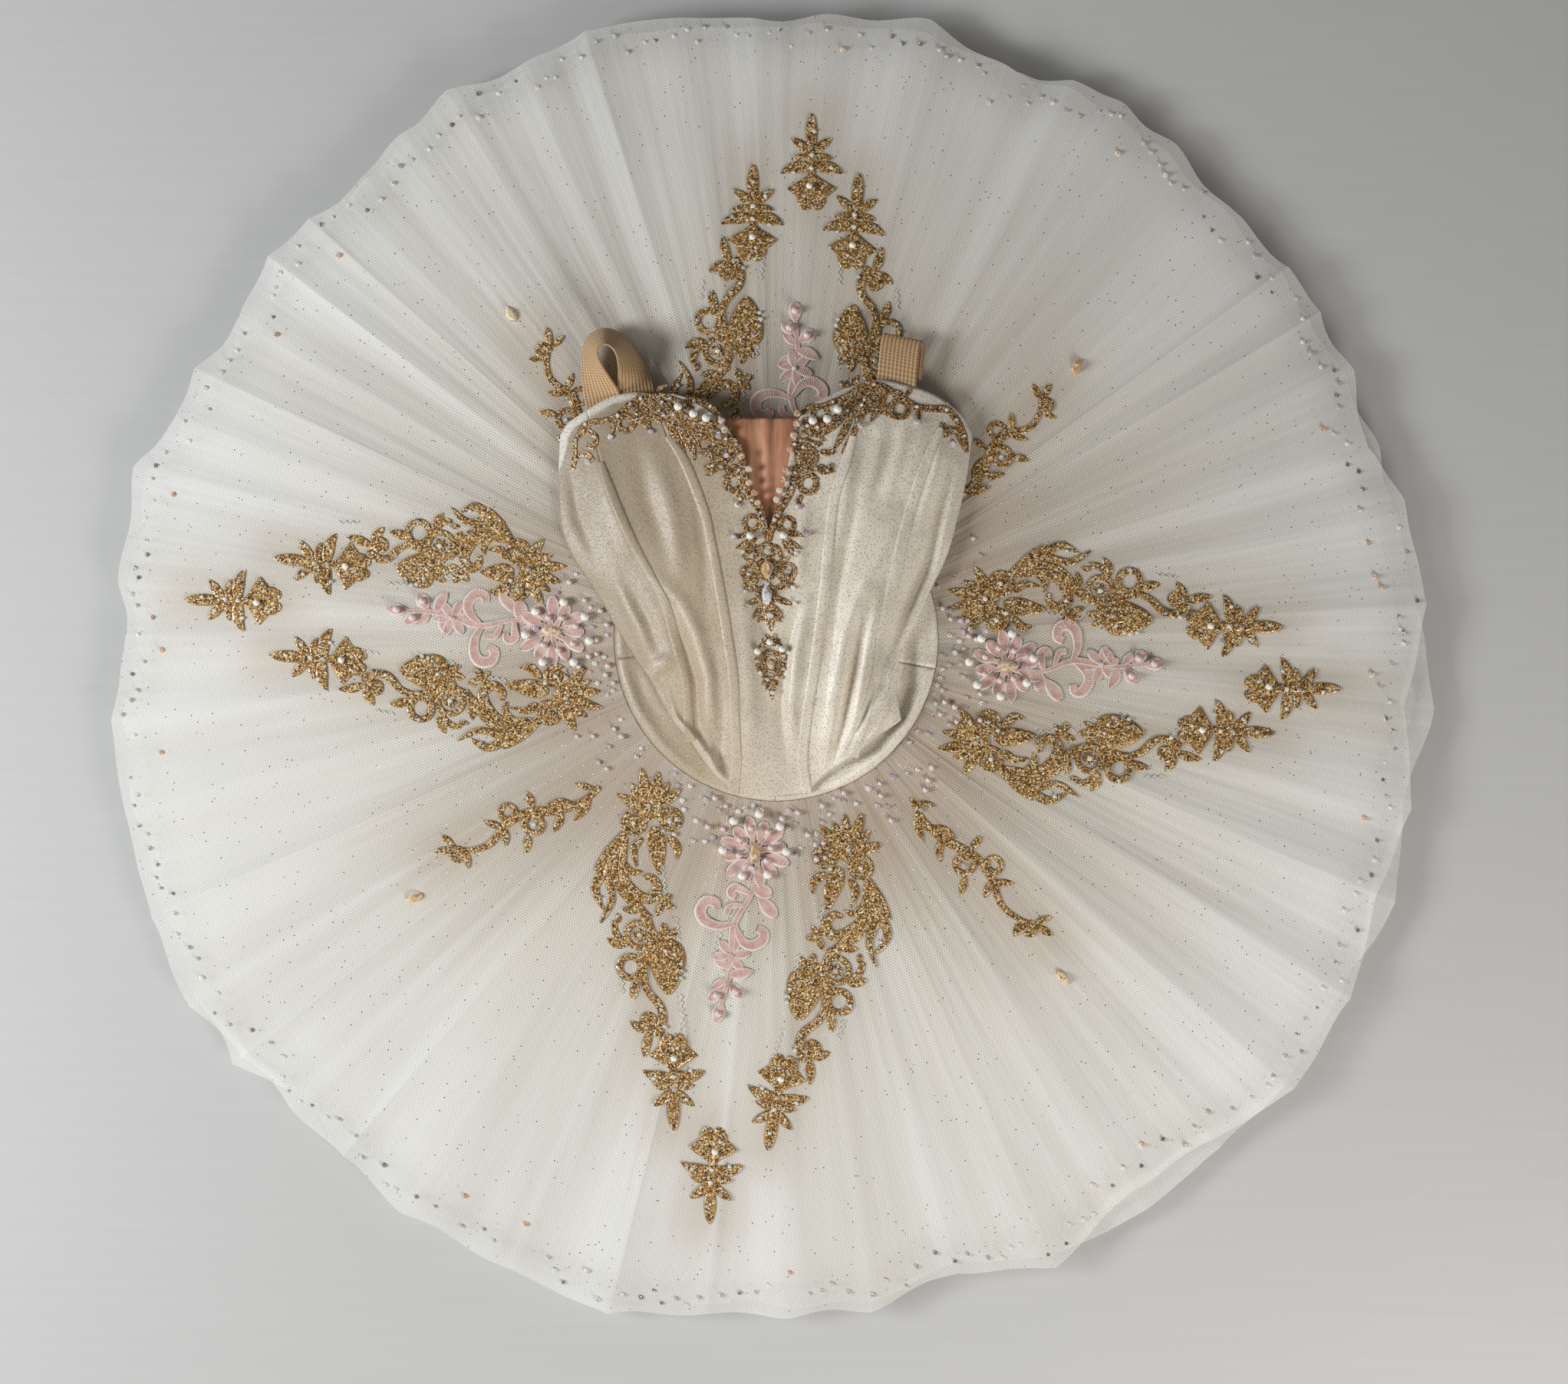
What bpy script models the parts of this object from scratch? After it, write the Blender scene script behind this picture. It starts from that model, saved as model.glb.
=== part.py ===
"""Ballet tutu lying on its own plate of net, the bodice fallen back over the plate.

All sizes are millimetres, brought to metres where a mesh is made.  The origin is the
middle of the hip ring, on the surface that the tutu rests on.  +Y runs from the front
of the garment to its back, +X to the right of someone who looks down on it, +Z up.
"""
import math
from collections import namedtuple

import bmesh
import bpy
from mathutils import Vector

MM = 0.001

# ---------------------------------------------------------------- driving dimensions

HIP_RADIUS = 114.0          # ring where net, basque and knickers are sewn together
SEAM_GAP = 0.3              # room between two pieces that are sewn together
NET_WALL = 1.2              # two gathered thicknesses of stiff net
BODICE_WALL = 2.0           # velvet, coutil and its stay
BASQUE_WALL = 1.6
APPLIQUE_WALL = 1.0         # corded lace
TRIM_WALL = 1.4             # bullion lace of the neckline
CASING_WALL = 0.9           # boning channel
CASING_WIDTH = 7.5
STRAP_WALL = 1.5

# The plate is a low cone, and its pleats grow with the radius, so their sides are flat.
PLATE_REACH = 470.0         # radius at which the heights at the rim are given
HIGHEST_PLEAT = 6.0
LOBE_DIP = 4.0              # the rim draws in between two crests

BASQUE_HEIGHT = 51.5        # its outer edge, just above the net
BASQUE_SLOPE = 0.21         # rise for each millimetre inwards
BASQUE_INNER = 80.0
EDGE_LIFT = 3.8             # outer face of the bodice over the net at its edges
DOME_POWER = 2.5            # how full the bodice is between its side edges

# A row for each pleat of the plate, anticlockwise from +X: the direction of its crest,
# the radius of the overlay and of the net under it there, the height of the crest at
# the rim, and the side on which the pleat steps down (1 anticlockwise, -1 clockwise).
Pleat = namedtuple("Pleat", "angle reach under rise lean")
PLEATS = [Pleat(*row) for row in (
    (3, 463, 455, 6, 1), (12.5, 456, 449, 4, 1), (18, 440, 447, 3, -1),
    (25, 451, 444, 5, -1), (31, 450, 443, 5, 1), (36, 448, 442, 4, 1),
    (43, 443, 438, 4, -1), (51, 450, 443, 6, 1), (57, 452, 445, 4, 1),
    (62, 448, 441, 4, -1), (67, 436, 437, 3, -1), (76, 451, 444, 6, 1),
    (85, 443, 437, 5, -1), (92, 441, 436, 4, 1), (99, 446, 440, 4, -1),
    (107.5, 453, 446, 6, 1), (114, 445, 439, 4, 1), (121, 451, 444, 5, -1),
    (127, 446, 439, 4, 1), (133, 440, 436, 3, -1), (138, 444, 438, 3, 1),
    (143, 451, 445, 5, 1), (149, 443, 437, 4, -1), (155, 454, 447, 5, 1),
    (160, 455, 449, 3, -1), (165, 469, 460, 5, 1), (175, 468, 460, 6, -1),
    (181, 461, 455, 4, 1), (187, 475, 467, 5, 1), (195, 479, 471, 5, -1),
    (204, 485, 477, 6, 1), (212, 491, 482, 5, -1), (218, 480, 489, 4, 1),
    (224, 478, 470, 4, -1), (230, 478, 472, 4, 1), (237, 486, 477, 6, 1),
    (247, 484, 477, 6, -1), (256, 494, 485, 6, 1), (264, 481, 474, 5, -1),
    (271, 479, 473, 4, 1), (278, 481, 475, 5, -1), (286, 467, 462, 4, 1),
    (294, 487, 479, 5, 1), (303, 466, 484, 5, -1), (311, 470, 480, 4, 1),
    (319, 487, 479, 6, -1), (328, 481, 474, 5, 1), (337, 462, 477, 6, -1),
    (345, 468, 461, 4, 1), (354, 447, 470, 5, -1),
)]

# Stations across one pleat: share of the way to the next crest, and height there.
STEP_AFTER = ((0.0, 1.0), (0.13, 0.35), (0.28, 0.0), (0.62, 0.45))
STEP_BEFORE = ((0.0, 1.0), (0.38, 0.45), (0.72, 0.0), (0.87, 0.35))

# A row for each layer of net that shows: its name, whether it ends at the overlay's
# radius or the under one, how much shorter it is cut, its height at the hip and at the
# rim, its share of the pleats' rise, and the stations that it keeps.
Layer = namedtuple("Layer", "name column shorter hip rim share stations")
LAYERS = [
    Layer("overlay_net", "reach", 0.0, 50.0, 17.0, 1.0, (0, 1, 2, 3)),
    Layer("net_2", "under", 0.0, 48.2, 11.5, 0.8, (0, 2)),
    Layer("net_3", "under", 14.0, 46.0, 6.5, 0.6, (0, 2)),
]
UNDER_NETS_HIP = 44.4       # top of the hidden layers at the hip, and at their rim
UNDER_NETS_RIM = 4.0
UNDER_NETS_SHORTER = 42.0

# Height of the bodice's outer face along its middle, from hem to neckline.
CROWN = ((-112, 56), (-90, 63), (-60, 71), (-20, 79), (40, 83), (100, 80), (145, 73),
         (170, 64), (190, 57))

# Soft folds of the bodice: from, to, half width and height.
Fold = namedtuple("Fold", "x0 y0 x1 y1 half height")
BODICE_FOLDS = [Fold(*row) for row in (
    (-86, -19, -66, -66, 12, 2.5), (88, -8, 105, -50, 12, 2.5),
    (-8, 60, -18, -70, 16, 2.0), (60, 95, 34, 20, 14, 2.5),
    (-96, 92, -62, 20, 14, 2.5), (104, 70, 62, -20, 12, 2.0),
)]

# Seams and edges of the bodice as (x, y), each from the hem upwards.
INNER_LEFT = ((-30, -108), (-28, -86), (-29, -57), (-30, -26), (-34, 2), (-39, 33),
              (-45, 64), (-51, 91), (-64, 124), (-76, 142), (-87, 172))
INNER_RIGHT = ((22, -108), (19, -86), (21, -59), (26, -26), (30, 3), (34, 36), (37, 69),
               (41, 100), (49, 124), (54, 142), (61, 179))
OUTER_LEFT = ((-60, -72), (-62, -50), (-64, -26), (-71, 2), (-78, 25), (-87, 42),
              (-102, 71), (-116, 104), (-123, 124), (-133, 161))
OUTER_RIGHT = ((54, -83), (57, -72), (63, -52), (70, -26), (74, 3), (81, 36), (88, 69),
               (96, 97), (106, 126), (116, 148), (121, 166))
SIDE_LEFT = ((-88, -28), (-100, -11), (-113, 9), (-124, 29), (-142, 56), (-151, 78),
             (-153, 110), (-152, 143))
SIDE_RIGHT = ((88, -57), (85, -35), (88, -8), (98, 11), (108, 33), (120, 58), (128, 86),
              (134, 113), (138, 144))
V_LEFT = ((-3, 69), (-11, 91), (-18, 110), (-25, 130), (-33, 147), (-44, 158),
          (-60, 168), (-73, 172))
V_RIGHT = ((-3, 69), (1, 88), (6, 108), (10, 130), (14, 149), (22, 162), (39, 171),
           (49, 176))
HEM_CENTRE = ((22, -108), (-4, -111), (-30, -108))
HEM_LEFT = ((-30, -108), (-45, -94), (-60, -72), (-74, -55), (-88, -28))
HEM_RIGHT = ((22, -108), (36, -94), (54, -83), (70, -70), (88, -57))
TOP_FRONT_LEFT = ((-133, 161), (-116, 170), (-101, 173), (-87, 172))
TOP_FRONT_RIGHT = ((121, 166), (109, 173), (94, 178), (75, 182), (61, 179))
TOP_SIDE_LEFT = ((-152, 143), (-146, 152), (-133, 161))
TOP_SIDE_RIGHT = ((138, 144), (131, 157), (121, 166))

INSERT_TOP = 154.5
BODICE_GRID = (-160.0, -118.0, 150.0, 188.0)      # west, south, east, north
BODICE_CELLS = (14, 14)
BACK_CELLS = (9, 9)

# Lace of the neckline, as (x, y) round each half.
TRIM_LEFT = ((-145, 121), (-145, 138), (-136, 149), (-118, 160), (-102, 167),
             (-86, 169), (-73, 168), (-61, 165), (-46, 155), (-35, 144), (-27, 127),
             (-20, 107), (-15, 89), (-23, 87), (-30, 101), (-42, 109), (-52, 124),
             (-67, 136), (-80, 146), (-96, 143), (-118, 140), (-131, 127), (-139, 118))
TRIM_RIGHT = ((135, 134), (134, 143), (124, 157), (108, 166), (93, 173), (76, 178),
              (62, 175), (48, 171), (38, 166), (24, 159), (17, 148), (13, 129),
              (9, 107), (5, 89), (14, 87), (22, 97), (32, 105), (38, 122), (51, 136),
              (61, 148), (76, 152), (92, 152), (111, 147), (124, 136), (129, 130))

# Garlands, tip lilies and sprigs: where each begins at the hip and ends at the rim,
# the side on which its teardrop lies (1 left of its run, -1 right), and how far along
# its run it comes out from under the bodice.
Spray = namedtuple("Spray", "name start end side covered")
GARLANDS = [Spray(*row) for row in (
    ("garland_front_left", (-97, -102), (-72, -345), 1, 0.0),
    ("garland_front_right", (61, -135), (-6, -359), -1, 0.0),
    ("garland_left_upper", (-163, 55), (-353, 57), 1, 0.0),
    ("garland_left_lower", (-135, -50), (-356, -11), -1, 0.0),
    ("garland_right_upper", (134, 36), (356, 8), -1, 0.0),
    ("garland_right_lower", (127, -80), (350, -66), 1, 0.0),
    ("garland_back_left", (-42, 105), (-16, 333), -1, 92.0),
    ("garland_back_right", (62, 100), (58, 327), 1, 92.0),
)]
TIP_LILIES = [Spray(*row) for row in (
    ("lily_front", (-44, -345), (-47, -410), 1, 0.0),
    ("lily_left", (-350, 27), (-415, 28), 1, 0.0),
    ("lily_right", (331, -35), (396, -35), 1, 0.0),
    ("lily_back", (25, 303), (25, 368), 1, 0.0),
)]
SPRIGS = [Spray(*row) for row in (
    ("sprig_front", (-15, -146), (-41, -268), -1, 0.0),
    ("sprig_left", (-154, 4), (-271, 22), 1, 0.0),
    ("sprig_right", (159, -18), (270, -18), 1, 0.0),
    ("sprig_back", (13, 115), (14, 235), 1, 70.0),
)]
SCROLLS = [Spray(*row) for row in (
    ("scroll_front_left", (-127, -116), (-237, -155), 1, 0.0),
    ("scroll_front_right", (100, -122), (190, -213), -1, 0.0),
    ("scroll_back_left", (-150, 178), (-164, 212), 1, 0.0),
    ("scroll_back_right", (150, 132), (198, 171), -1, 0.0),
)]

NET_IVORY = (0.86, 0.82, 0.75)
NET_WHITE = (0.88, 0.86, 0.82)
VELVET_CREAM = (0.84, 0.79, 0.68)
NUDE = (0.72, 0.52, 0.38)
ELASTIC_BEIGE = (0.78, 0.70, 0.58)
ANTIQUE_GOLD = (0.62, 0.46, 0.22)
DUSTY_PINK = (0.74, 0.50, 0.46)


# ---------------------------------------------------------------- plain sums

def along(rows, place):
    """Value at a place on a table of (place, value) rows, straight between rows."""
    if place <= rows[0][0]:
        return rows[0][1]
    for (low, first), (high, second) in zip(rows, rows[1:]):
        if place <= high:
            return first + (second - first) * (place - low) / (high - low)
    return rows[-1][1]


def crossing(line, y):
    """The x at which a seam or edge given as (x, y) points crosses a height y."""
    return along([(point[1], point[0]) for point in line], y)


def net_height(layer, radius, rise):
    """Height of a layer's upper face at a radius, under a pleat of that rise."""
    share = (radius - HIP_RADIUS) / (PLATE_REACH - HIP_RADIUS)
    base = layer.hip - (layer.hip - layer.rim) * share
    return base + rise * layer.share * radius / PLATE_REACH


def pleat_stations(layer):
    """Angle, rim radius and rise for each column of a layer, all round the plate."""
    columns = []
    for row, pleat in enumerate(PLEATS):
        after = PLEATS[(row + 1) % len(PLEATS)]
        width = (after.angle - pleat.angle) % 360.0
        stations = STEP_AFTER if pleat.lean > 0 else STEP_BEFORE
        for index in layer.stations:
            share, height = stations[index]
            near = getattr(pleat, layer.column)
            far = getattr(after, layer.column)
            reach = near + (far - near) * share - LOBE_DIP * (1.0 - height)
            rise = (pleat.rise + (after.rise - pleat.rise) * share) * height
            columns.append((math.radians(pleat.angle + width * share),
                            reach - layer.shorter, rise))
    return columns


def support(radius):
    """Height of what the bodice lies on: the basque's cone, then the pleats' crests."""
    if radius < HIP_RADIUS:
        return BASQUE_HEIGHT + BASQUE_SLOPE * (HIP_RADIUS - radius)
    return net_height(LAYERS[0], radius, HIGHEST_PLEAT)


def fold_height(x, y):
    """Height that the bodice's soft folds add at a point."""
    total = 0.0
    for fold in BODICE_FOLDS:
        run = Vector((fold.x1 - fold.x0, fold.y1 - fold.y0))
        offset = Vector((x - fold.x0, y - fold.y0))
        share = offset.dot(run) / run.length_squared
        if 0.0 < share < 1.0:
            away = abs(run.cross(offset)) / run.length / fold.half
            total += fold.height * math.sin(math.pi * share) * math.exp(-away * away)
    return total


def dome(x, y, folded=True):
    """Height of the bodice's outer face."""
    left = crossing(HEM_LEFT + SIDE_LEFT[1:], y)
    right = crossing(HEM_RIGHT + SIDE_RIGHT[1:], y)
    share = min(1.0, x / right if x > 0 else x / left)
    fullness = 1.0 - share ** DOME_POWER
    edge = support(math.hypot(x, y)) + EDGE_LIFT
    crown = max(edge, along(CROWN, y))
    crease = fold_height(x, y) if folded else 0.0
    return edge + (crown + crease - edge) * fullness


# ---------------------------------------------------------------- outlines

def leaf(root, direction, length, width):
    """Pointed leaf from its root, as (along, aside) points."""
    run = Vector((math.cos(direction), math.sin(direction)))
    across = Vector((-run.y, run.x))
    shape = ((0.0, 0.1), (0.42, 0.5), (1.0, 0.0), (0.42, -0.5), (0.0, -0.1))
    return [Vector(root) + run * length * a + across * width * b for a, b in shape]


def teardrop(root, direction, length, width):
    """Blunt teardrop from its point, as (along, aside) points."""
    run = Vector((math.cos(direction), math.sin(direction)))
    across = Vector((-run.y, run.x))
    shape = ((0.0, 0.0), (0.4, 0.42), (0.75, 0.5), (1.0, 0.2), (1.0, -0.2),
             (0.75, -0.5), (0.4, -0.42))
    return [Vector(root) + run * length * a + across * width * b for a, b in shape]


def bloom(middle, radius, lobes, depth, turn=0.0):
    """Flower of equal lobes round a middle."""
    points = []
    for step in range(lobes * 2):
        angle = math.pi * step / lobes + turn
        reach = radius if step % 2 == 0 else radius * (1.0 - depth)
        points.append(Vector(middle) + Vector((math.cos(angle), math.sin(angle))) * reach)
    return points


def ribbon(points, widths):
    """Band along points, its width going through the given widths."""
    points = [Vector(point) for point in points]
    left, right = [], []
    for index, point in enumerate(points):
        before = points[max(index - 1, 0)]
        after = points[min(index + 1, len(points) - 1)]
        run = (after - before).normalized()
        across = Vector((-run.y, run.x))
        place = index / (len(points) - 1) * (len(widths) - 1)
        low = min(int(place), len(widths) - 2)
        half = (widths[low] + (widths[low + 1] - widths[low]) * (place - low)) / 2.0
        left.append(point + across * half)
        right.append(point - across * half)
    return left + right[::-1]


def curl(middle, radius, start, sweep, steps):
    """Points of a curl that winds in to half its radius."""
    points = []
    for step in range(steps + 1):
        share = step / steps
        angle = math.radians(start + sweep * share)
        reach = radius * (1.0 - 0.5 * share)
        points.append((middle[0] + reach * math.cos(angle),
                       middle[1] + reach * math.sin(angle)))
    return points


def lily_shapes(base):
    """Bell flower with paired leaves and one long tip leaf, 65 mm from its base."""
    bell = [(base + a, b) for a, b in (
        (0, 7), (9, 10), (16, 15), (22, 3), (22, -3), (16, -15), (9, -10), (0, -7),
        (3, 0))]
    spine = ribbon([(base + 18, 0), (base + 50, 0)], (5, 5))
    shapes = [[Vector(point) for point in bell], spine]
    for side in (1, -1):
        shapes.append(leaf((base + 27, 0), side * math.radians(84), 22, 9))
        shapes.append(leaf((base + 41, 0), side * math.radians(46), 17, 7))
    shapes.append(leaf((base + 42, 0), 0.0, 23, 9))
    return shapes


def garland_shapes(length, covered):
    """Gold garland: flower, scrolls, stem, teardrop and ring, curl, and a lily."""
    middle = length - 122.0
    lily = length - 64.0
    run = [(8, 0, 9), (middle * 0.3, -12, 14), (middle * 0.62, -17, 12),
           (middle - 10, 2, 7), (middle + 12, 3, 6), (middle + 30, -4, 5),
           (lily + 5, 1, 5)]
    run = [row for row in run if row[0] >= covered]
    shapes = [ribbon([row[:2] for row in run], [row[2] for row in run])]
    if covered == 0.0:
        bend = middle * 0.55
        shapes.append(bloom((0, 0), 22, 6, 0.3))
        shapes.append(leaf((10, -2), math.radians(-62), 28, 11))
        shapes.append(leaf((bend - 8, -10), math.radians(58), 30, 12))
        shapes.append(ribbon([(bend + 4, -16), (bend + 17, -2), (bend + 4, 10)], (7, 8, 4)))
    shapes.append(teardrop((middle - 8, 4), math.radians(28), 38, 25))
    shapes.append(ribbon(curl((middle + 6, -9), 10, 60, 260, 5), (5, 5)))
    shapes.append(ribbon([(lily - 8, 2), (lily - 5, -11), (lily + 9, -24)], (6, 11, 3)))
    return shapes + lily_shapes(lily)


def sprig_shapes(length, covered):
    """Pink sprig: round flower, stem with two scrolls, star flower and buds."""
    star = length * 0.66
    run = [(12, 0, 4), (length * 0.4, -2, 5), (star, 2, 5), (length - 10, 0, 4)]
    run = [row for row in run if row[0] >= covered]
    shapes = [ribbon([row[:2] for row in run], [row[2] for row in run])]
    if covered == 0.0:
        shapes.append(bloom((0, 0), 22, 10, 0.16))
        shapes.append(ribbon([(length * 0.46, 0), (length * 0.44, -16),
                              (length * 0.30, -21)], (6, 8, 5)))
        shapes.append(leaf((length * 0.22, 0), math.radians(52), 27, 14))
    shapes.append(bloom((star, 1), 12, 5, 0.5, 0.3))
    shapes.append(leaf((length - 20, 0), math.radians(32), 16, 8))
    shapes.append(leaf((length - 16, 0), math.radians(-14), 17, 8))
    return shapes


def scroll_shapes(length, _covered):
    """Small gold scroll with a curl at its end."""
    shapes = [ribbon([(0, 0), (length * 0.35, 5), (length * 0.7, -3), (length, 1)],
                     (6, 9, 3))]
    shapes.append(leaf((length * 0.2, 2), math.radians(42), length * 0.34, 8))
    shapes.append(leaf((length * 0.48, 1), math.radians(-48), length * 0.26, 8))
    return shapes


def tip_lily_shapes(_length, _covered):
    """A lily that stands alone."""
    return lily_shapes(0.0)


# ---------------------------------------------------------------- mesh tools

def fabric(name, colour, roughness, metallic=0.0):
    """Principled material in one colour."""
    material = bpy.data.materials.new(name)
    material.use_nodes = True
    shader = material.node_tree.nodes["Principled BSDF"]
    shader.inputs["Base Color"].default_value = (*colour, 1.0)
    shader.inputs["Roughness"].default_value = roughness
    shader.inputs["Metallic"].default_value = metallic
    return material


def finished(bm, name, collection, colour=None, roughness=0.8, metallic=0.0):
    """Turn a millimetre bmesh into a named object in metres."""
    bmesh.ops.scale(bm, vec=(MM, MM, MM), verts=bm.verts)
    bmesh.ops.recalc_face_normals(bm, faces=bm.faces)
    mesh = bpy.data.meshes.new(name)
    bm.to_mesh(mesh)
    bm.free()
    part = bpy.data.objects.new(name, mesh)
    collection.objects.link(part)
    if colour is None:
        part.hide_render = True
        part.display_type = "WIRE"
    else:
        mesh.materials.append(fabric(name, colour, roughness, metallic))
    return part


def surface(columns, rows, place, joined=False, split=True):
    """Open grid with its corner (column, row) moved to place(column, row)."""
    bm = bmesh.new()
    bmesh.ops.create_grid(bm, x_segments=columns, y_segments=rows, size=0.5)
    for corner in bm.verts:
        column = round((corner.co.x + 0.5) * columns)
        row = round((corner.co.y + 0.5) * rows)
        corner.co = place(column, row)
    if joined:
        bmesh.ops.remove_doubles(bm, verts=bm.verts, dist=0.0001)
    if split:
        bmesh.ops.triangulate(bm, faces=bm.faces, quad_method="FIXED")
    return bm


def thicken(bm, lower):
    """Close an open surface into a wall; lower(point) is the height of its underside."""
    grown = bmesh.ops.extrude_face_region(bm, geom=bm.faces[:])
    for corner in grown["geom"]:
        if isinstance(corner, bmesh.types.BMVert):
            corner.co.z = lower(corner.co)
    return bm


def prisms(outlines, low, high):
    """Upright prisms on closed outlines, in one mesh."""
    bm = bmesh.new()
    for count, outline in enumerate(outlines):
        stagger = 0.37 * count
        corners = [bm.verts.new((point[0], point[1], low - stagger)) for point in outline]
        foot = bm.faces.new(corners)
        grown = bmesh.ops.extrude_face_region(bm, geom=[foot])
        tops = [item for item in grown["geom"] if isinstance(item, bmesh.types.BMVert)]
        bmesh.ops.translate(bm, vec=(0, 0, high - low + 2 * stagger), verts=tops)
    return bm


def cut_from(sheet, outlines, name, collection, colour, roughness=0.8, metallic=0.0):
    """Cut outlines out of a thick sheet, leaving the pieces of the sheet inside them."""
    piece = finished(prisms(outlines, -40.0, 160.0), name, collection, colour,
                     roughness, metallic)
    cutter = piece.modifiers.new("cut from sheet", "BOOLEAN")
    cutter.operation = "INTERSECT"
    cutter.solver = "EXACT"
    cutter.use_self = len(outlines) > 1
    cutter.object = sheet
    return piece


def drawn_in(outline, gap):
    """A closed outline drawn in by a gap, so that neighbours stay apart."""
    points = [Vector(point) for point in outline]
    area = sum(a.cross(b) for a, b in zip(points, points[1:] + points[:1]))
    turn = 1.0 if area > 0 else -1.0
    moved = []
    for index, point in enumerate(points):
        before = (point - points[index - 1]).normalized()
        after = (points[(index + 1) % len(points)] - point).normalized()
        normal = Vector((-before.y - after.y, before.x + after.x))
        size = max(normal.length_squared / 2.0, 0.4)
        moved.append(point + normal * turn * gap / size)
    return moved


# ---------------------------------------------------------------- the plate

def net_layer(layer, raise_by=0.0, wall=NET_WALL, up=False):
    """One pleated layer of net, or a sheet of the same form that floats above it."""
    columns = pleat_stations(layer)

    def place(column, row):
        angle, reach, rise = columns[column % len(columns)]
        radius = reach if row else HIP_RADIUS + SEAM_GAP
        height = net_height(layer, radius, rise) + raise_by
        return Vector((radius * math.cos(angle), radius * math.sin(angle), height))

    bm = surface(len(columns), 1, place, joined=True, split=not up)
    step = wall if up else -wall
    return thicken(bm, lambda point: point.z + step)


def under_nets(collection):
    """The hidden layers of net, one rounded solid that is flat underneath."""
    rims = pleat_stations(LAYERS[2]._replace(stations=(0,)))
    top = LAYERS[2]._replace(hip=UNDER_NETS_HIP, rim=UNDER_NETS_RIM, share=0.0)
    profile = ((0.0, 0.0), (0.0, 1.0), (0.93, 1.0), (1.0, 0.45), (1.0, 0.0))

    def place(column, row):
        angle, reach, _rise = rims[column % len(rims)]
        share, height_share = profile[row]
        start = HIP_RADIUS + SEAM_GAP
        radius = start + share * (reach - UNDER_NETS_SHORTER - start)
        height = net_height(top, radius, 0.0) * height_share
        return Vector((radius * math.cos(angle), radius * math.sin(angle), height))

    bm = surface(len(rims), len(profile) - 1, place, joined=True)
    bmesh.ops.bridge_loops(bm, edges=[edge for edge in bm.edges if edge.is_boundary])
    bmesh.ops.triangulate(bm, faces=[face for face in bm.faces if len(face.verts) > 3])
    return finished(bm, "under_nets", collection, NET_WHITE, 0.9)


def make_plate(collection):
    """All layers of net."""
    for layer in LAYERS:
        colour = NET_IVORY if layer.name == "overlay_net" else NET_WHITE
        finished(net_layer(layer), layer.name, collection, colour, 0.85)
    under_nets(collection)


# ---------------------------------------------------------------- hip and bodice

def make_knickers(collection):
    """Knickers crushed flat under the plate: a turned, flat-bottomed heap of cloth."""
    profile = ((0.0, 56.0), (70.0, 56.0), (79.0, 55.6), (106.0, 50.4), (111.5, 48.0),
               (113.6, 40.0), (113.6, 14.0), (109.0, 3.5), (102.0, 0.0), (0.0, 0.0))
    bm = bmesh.new()
    corners = [bm.verts.new((radius, 0.0, height)) for radius, height in profile]
    edges = [bm.edges.new(pair) for pair in zip(corners, corners[1:])]
    bmesh.ops.spin(bm, geom=corners + edges, cent=(0, 0, 0), axis=(0, 0, 1),
                   angle=math.tau, steps=20, use_merge=True)
    bmesh.ops.remove_doubles(bm, verts=bm.verts, dist=0.001)
    return finished(bm, "knickers", collection, NET_WHITE, 0.9)


def make_basque(collection):
    """Four pieces of the basque, between the hip ring and the bodice's hem."""
    pieces = (("basque_front_right", -90.0, -10.4), ("basque_back_right", -10.4, 90.0),
              ("basque_back_left", 90.0, 186.9), ("basque_front_left", 186.9, 270.0))
    for name, start, end in pieces:
        gap = math.degrees(SEAM_GAP / 2.0 / BASQUE_INNER)

        def place(column, row, start=start + gap, end=end - gap):
            angle = math.radians(start + (end - start) * column / 10.0)
            radius = (BASQUE_INNER, HIP_RADIUS)[row]
            height = BASQUE_HEIGHT + BASQUE_SLOPE * (HIP_RADIUS - radius)
            return Vector((radius * math.cos(angle), radius * math.sin(angle), height))

        bm = surface(10, 1, place)
        thicken(bm, lambda point: point.z - BASQUE_WALL)
        finished(bm, name, collection, VELVET_CREAM, 0.7)


def bodice_sheet(name, collection, outer, inner):
    """A thick sheet in the bodice's form, between two depths under its outer face."""
    west, south, east, north = BODICE_GRID
    across, up = BODICE_CELLS

    def place(column, row):
        x = west + (east - west) * column / across
        y = south + (north - south) * row / up
        return Vector((x, y, dome(x, y) - outer))

    bm = surface(across, up, place)
    thicken(bm, lambda point: point.z + outer - inner)
    return finished(bm, name, collection)


def bodice_outlines():
    """Closed outlines of the five panels that show."""
    return {
        "bodice_centre_front": (INNER_LEFT + V_LEFT[::-1] + V_RIGHT[1:]
                                + INNER_RIGHT[::-1] + HEM_CENTRE[1:2]),
        "bodice_side_front_left": (INNER_LEFT[::-1] + HEM_LEFT[1:3] + OUTER_LEFT[1:]
                                   + TOP_FRONT_LEFT[1:3]),
        "bodice_side_front_right": (INNER_RIGHT[::-1] + HEM_RIGHT[1:3] + OUTER_RIGHT[1:]
                                    + TOP_FRONT_RIGHT[1:4]),
        "bodice_side_left": (OUTER_LEFT[::-1] + HEM_LEFT[3:] + SIDE_LEFT[1:]
                             + TOP_SIDE_LEFT[1:2]),
        "bodice_side_right": (OUTER_RIGHT[::-1] + HEM_RIGHT[3:] + SIDE_RIGHT[1:]
                              + TOP_SIDE_RIGHT[1:2]),
    }


def insert_outline():
    """The insert reaches under both edges of the neckline's V."""
    under = 7.0
    left = [(x - under, y) for x, y in V_LEFT if y < INSERT_TOP]
    right = [(x + under, y) for x, y in V_RIGHT if y < INSERT_TOP]
    top = [(crossing(V_RIGHT, INSERT_TOP) + under, INSERT_TOP),
           (crossing(V_LEFT, INSERT_TOP) - under, INSERT_TOP)]
    return right + top + left[::-1]


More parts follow.
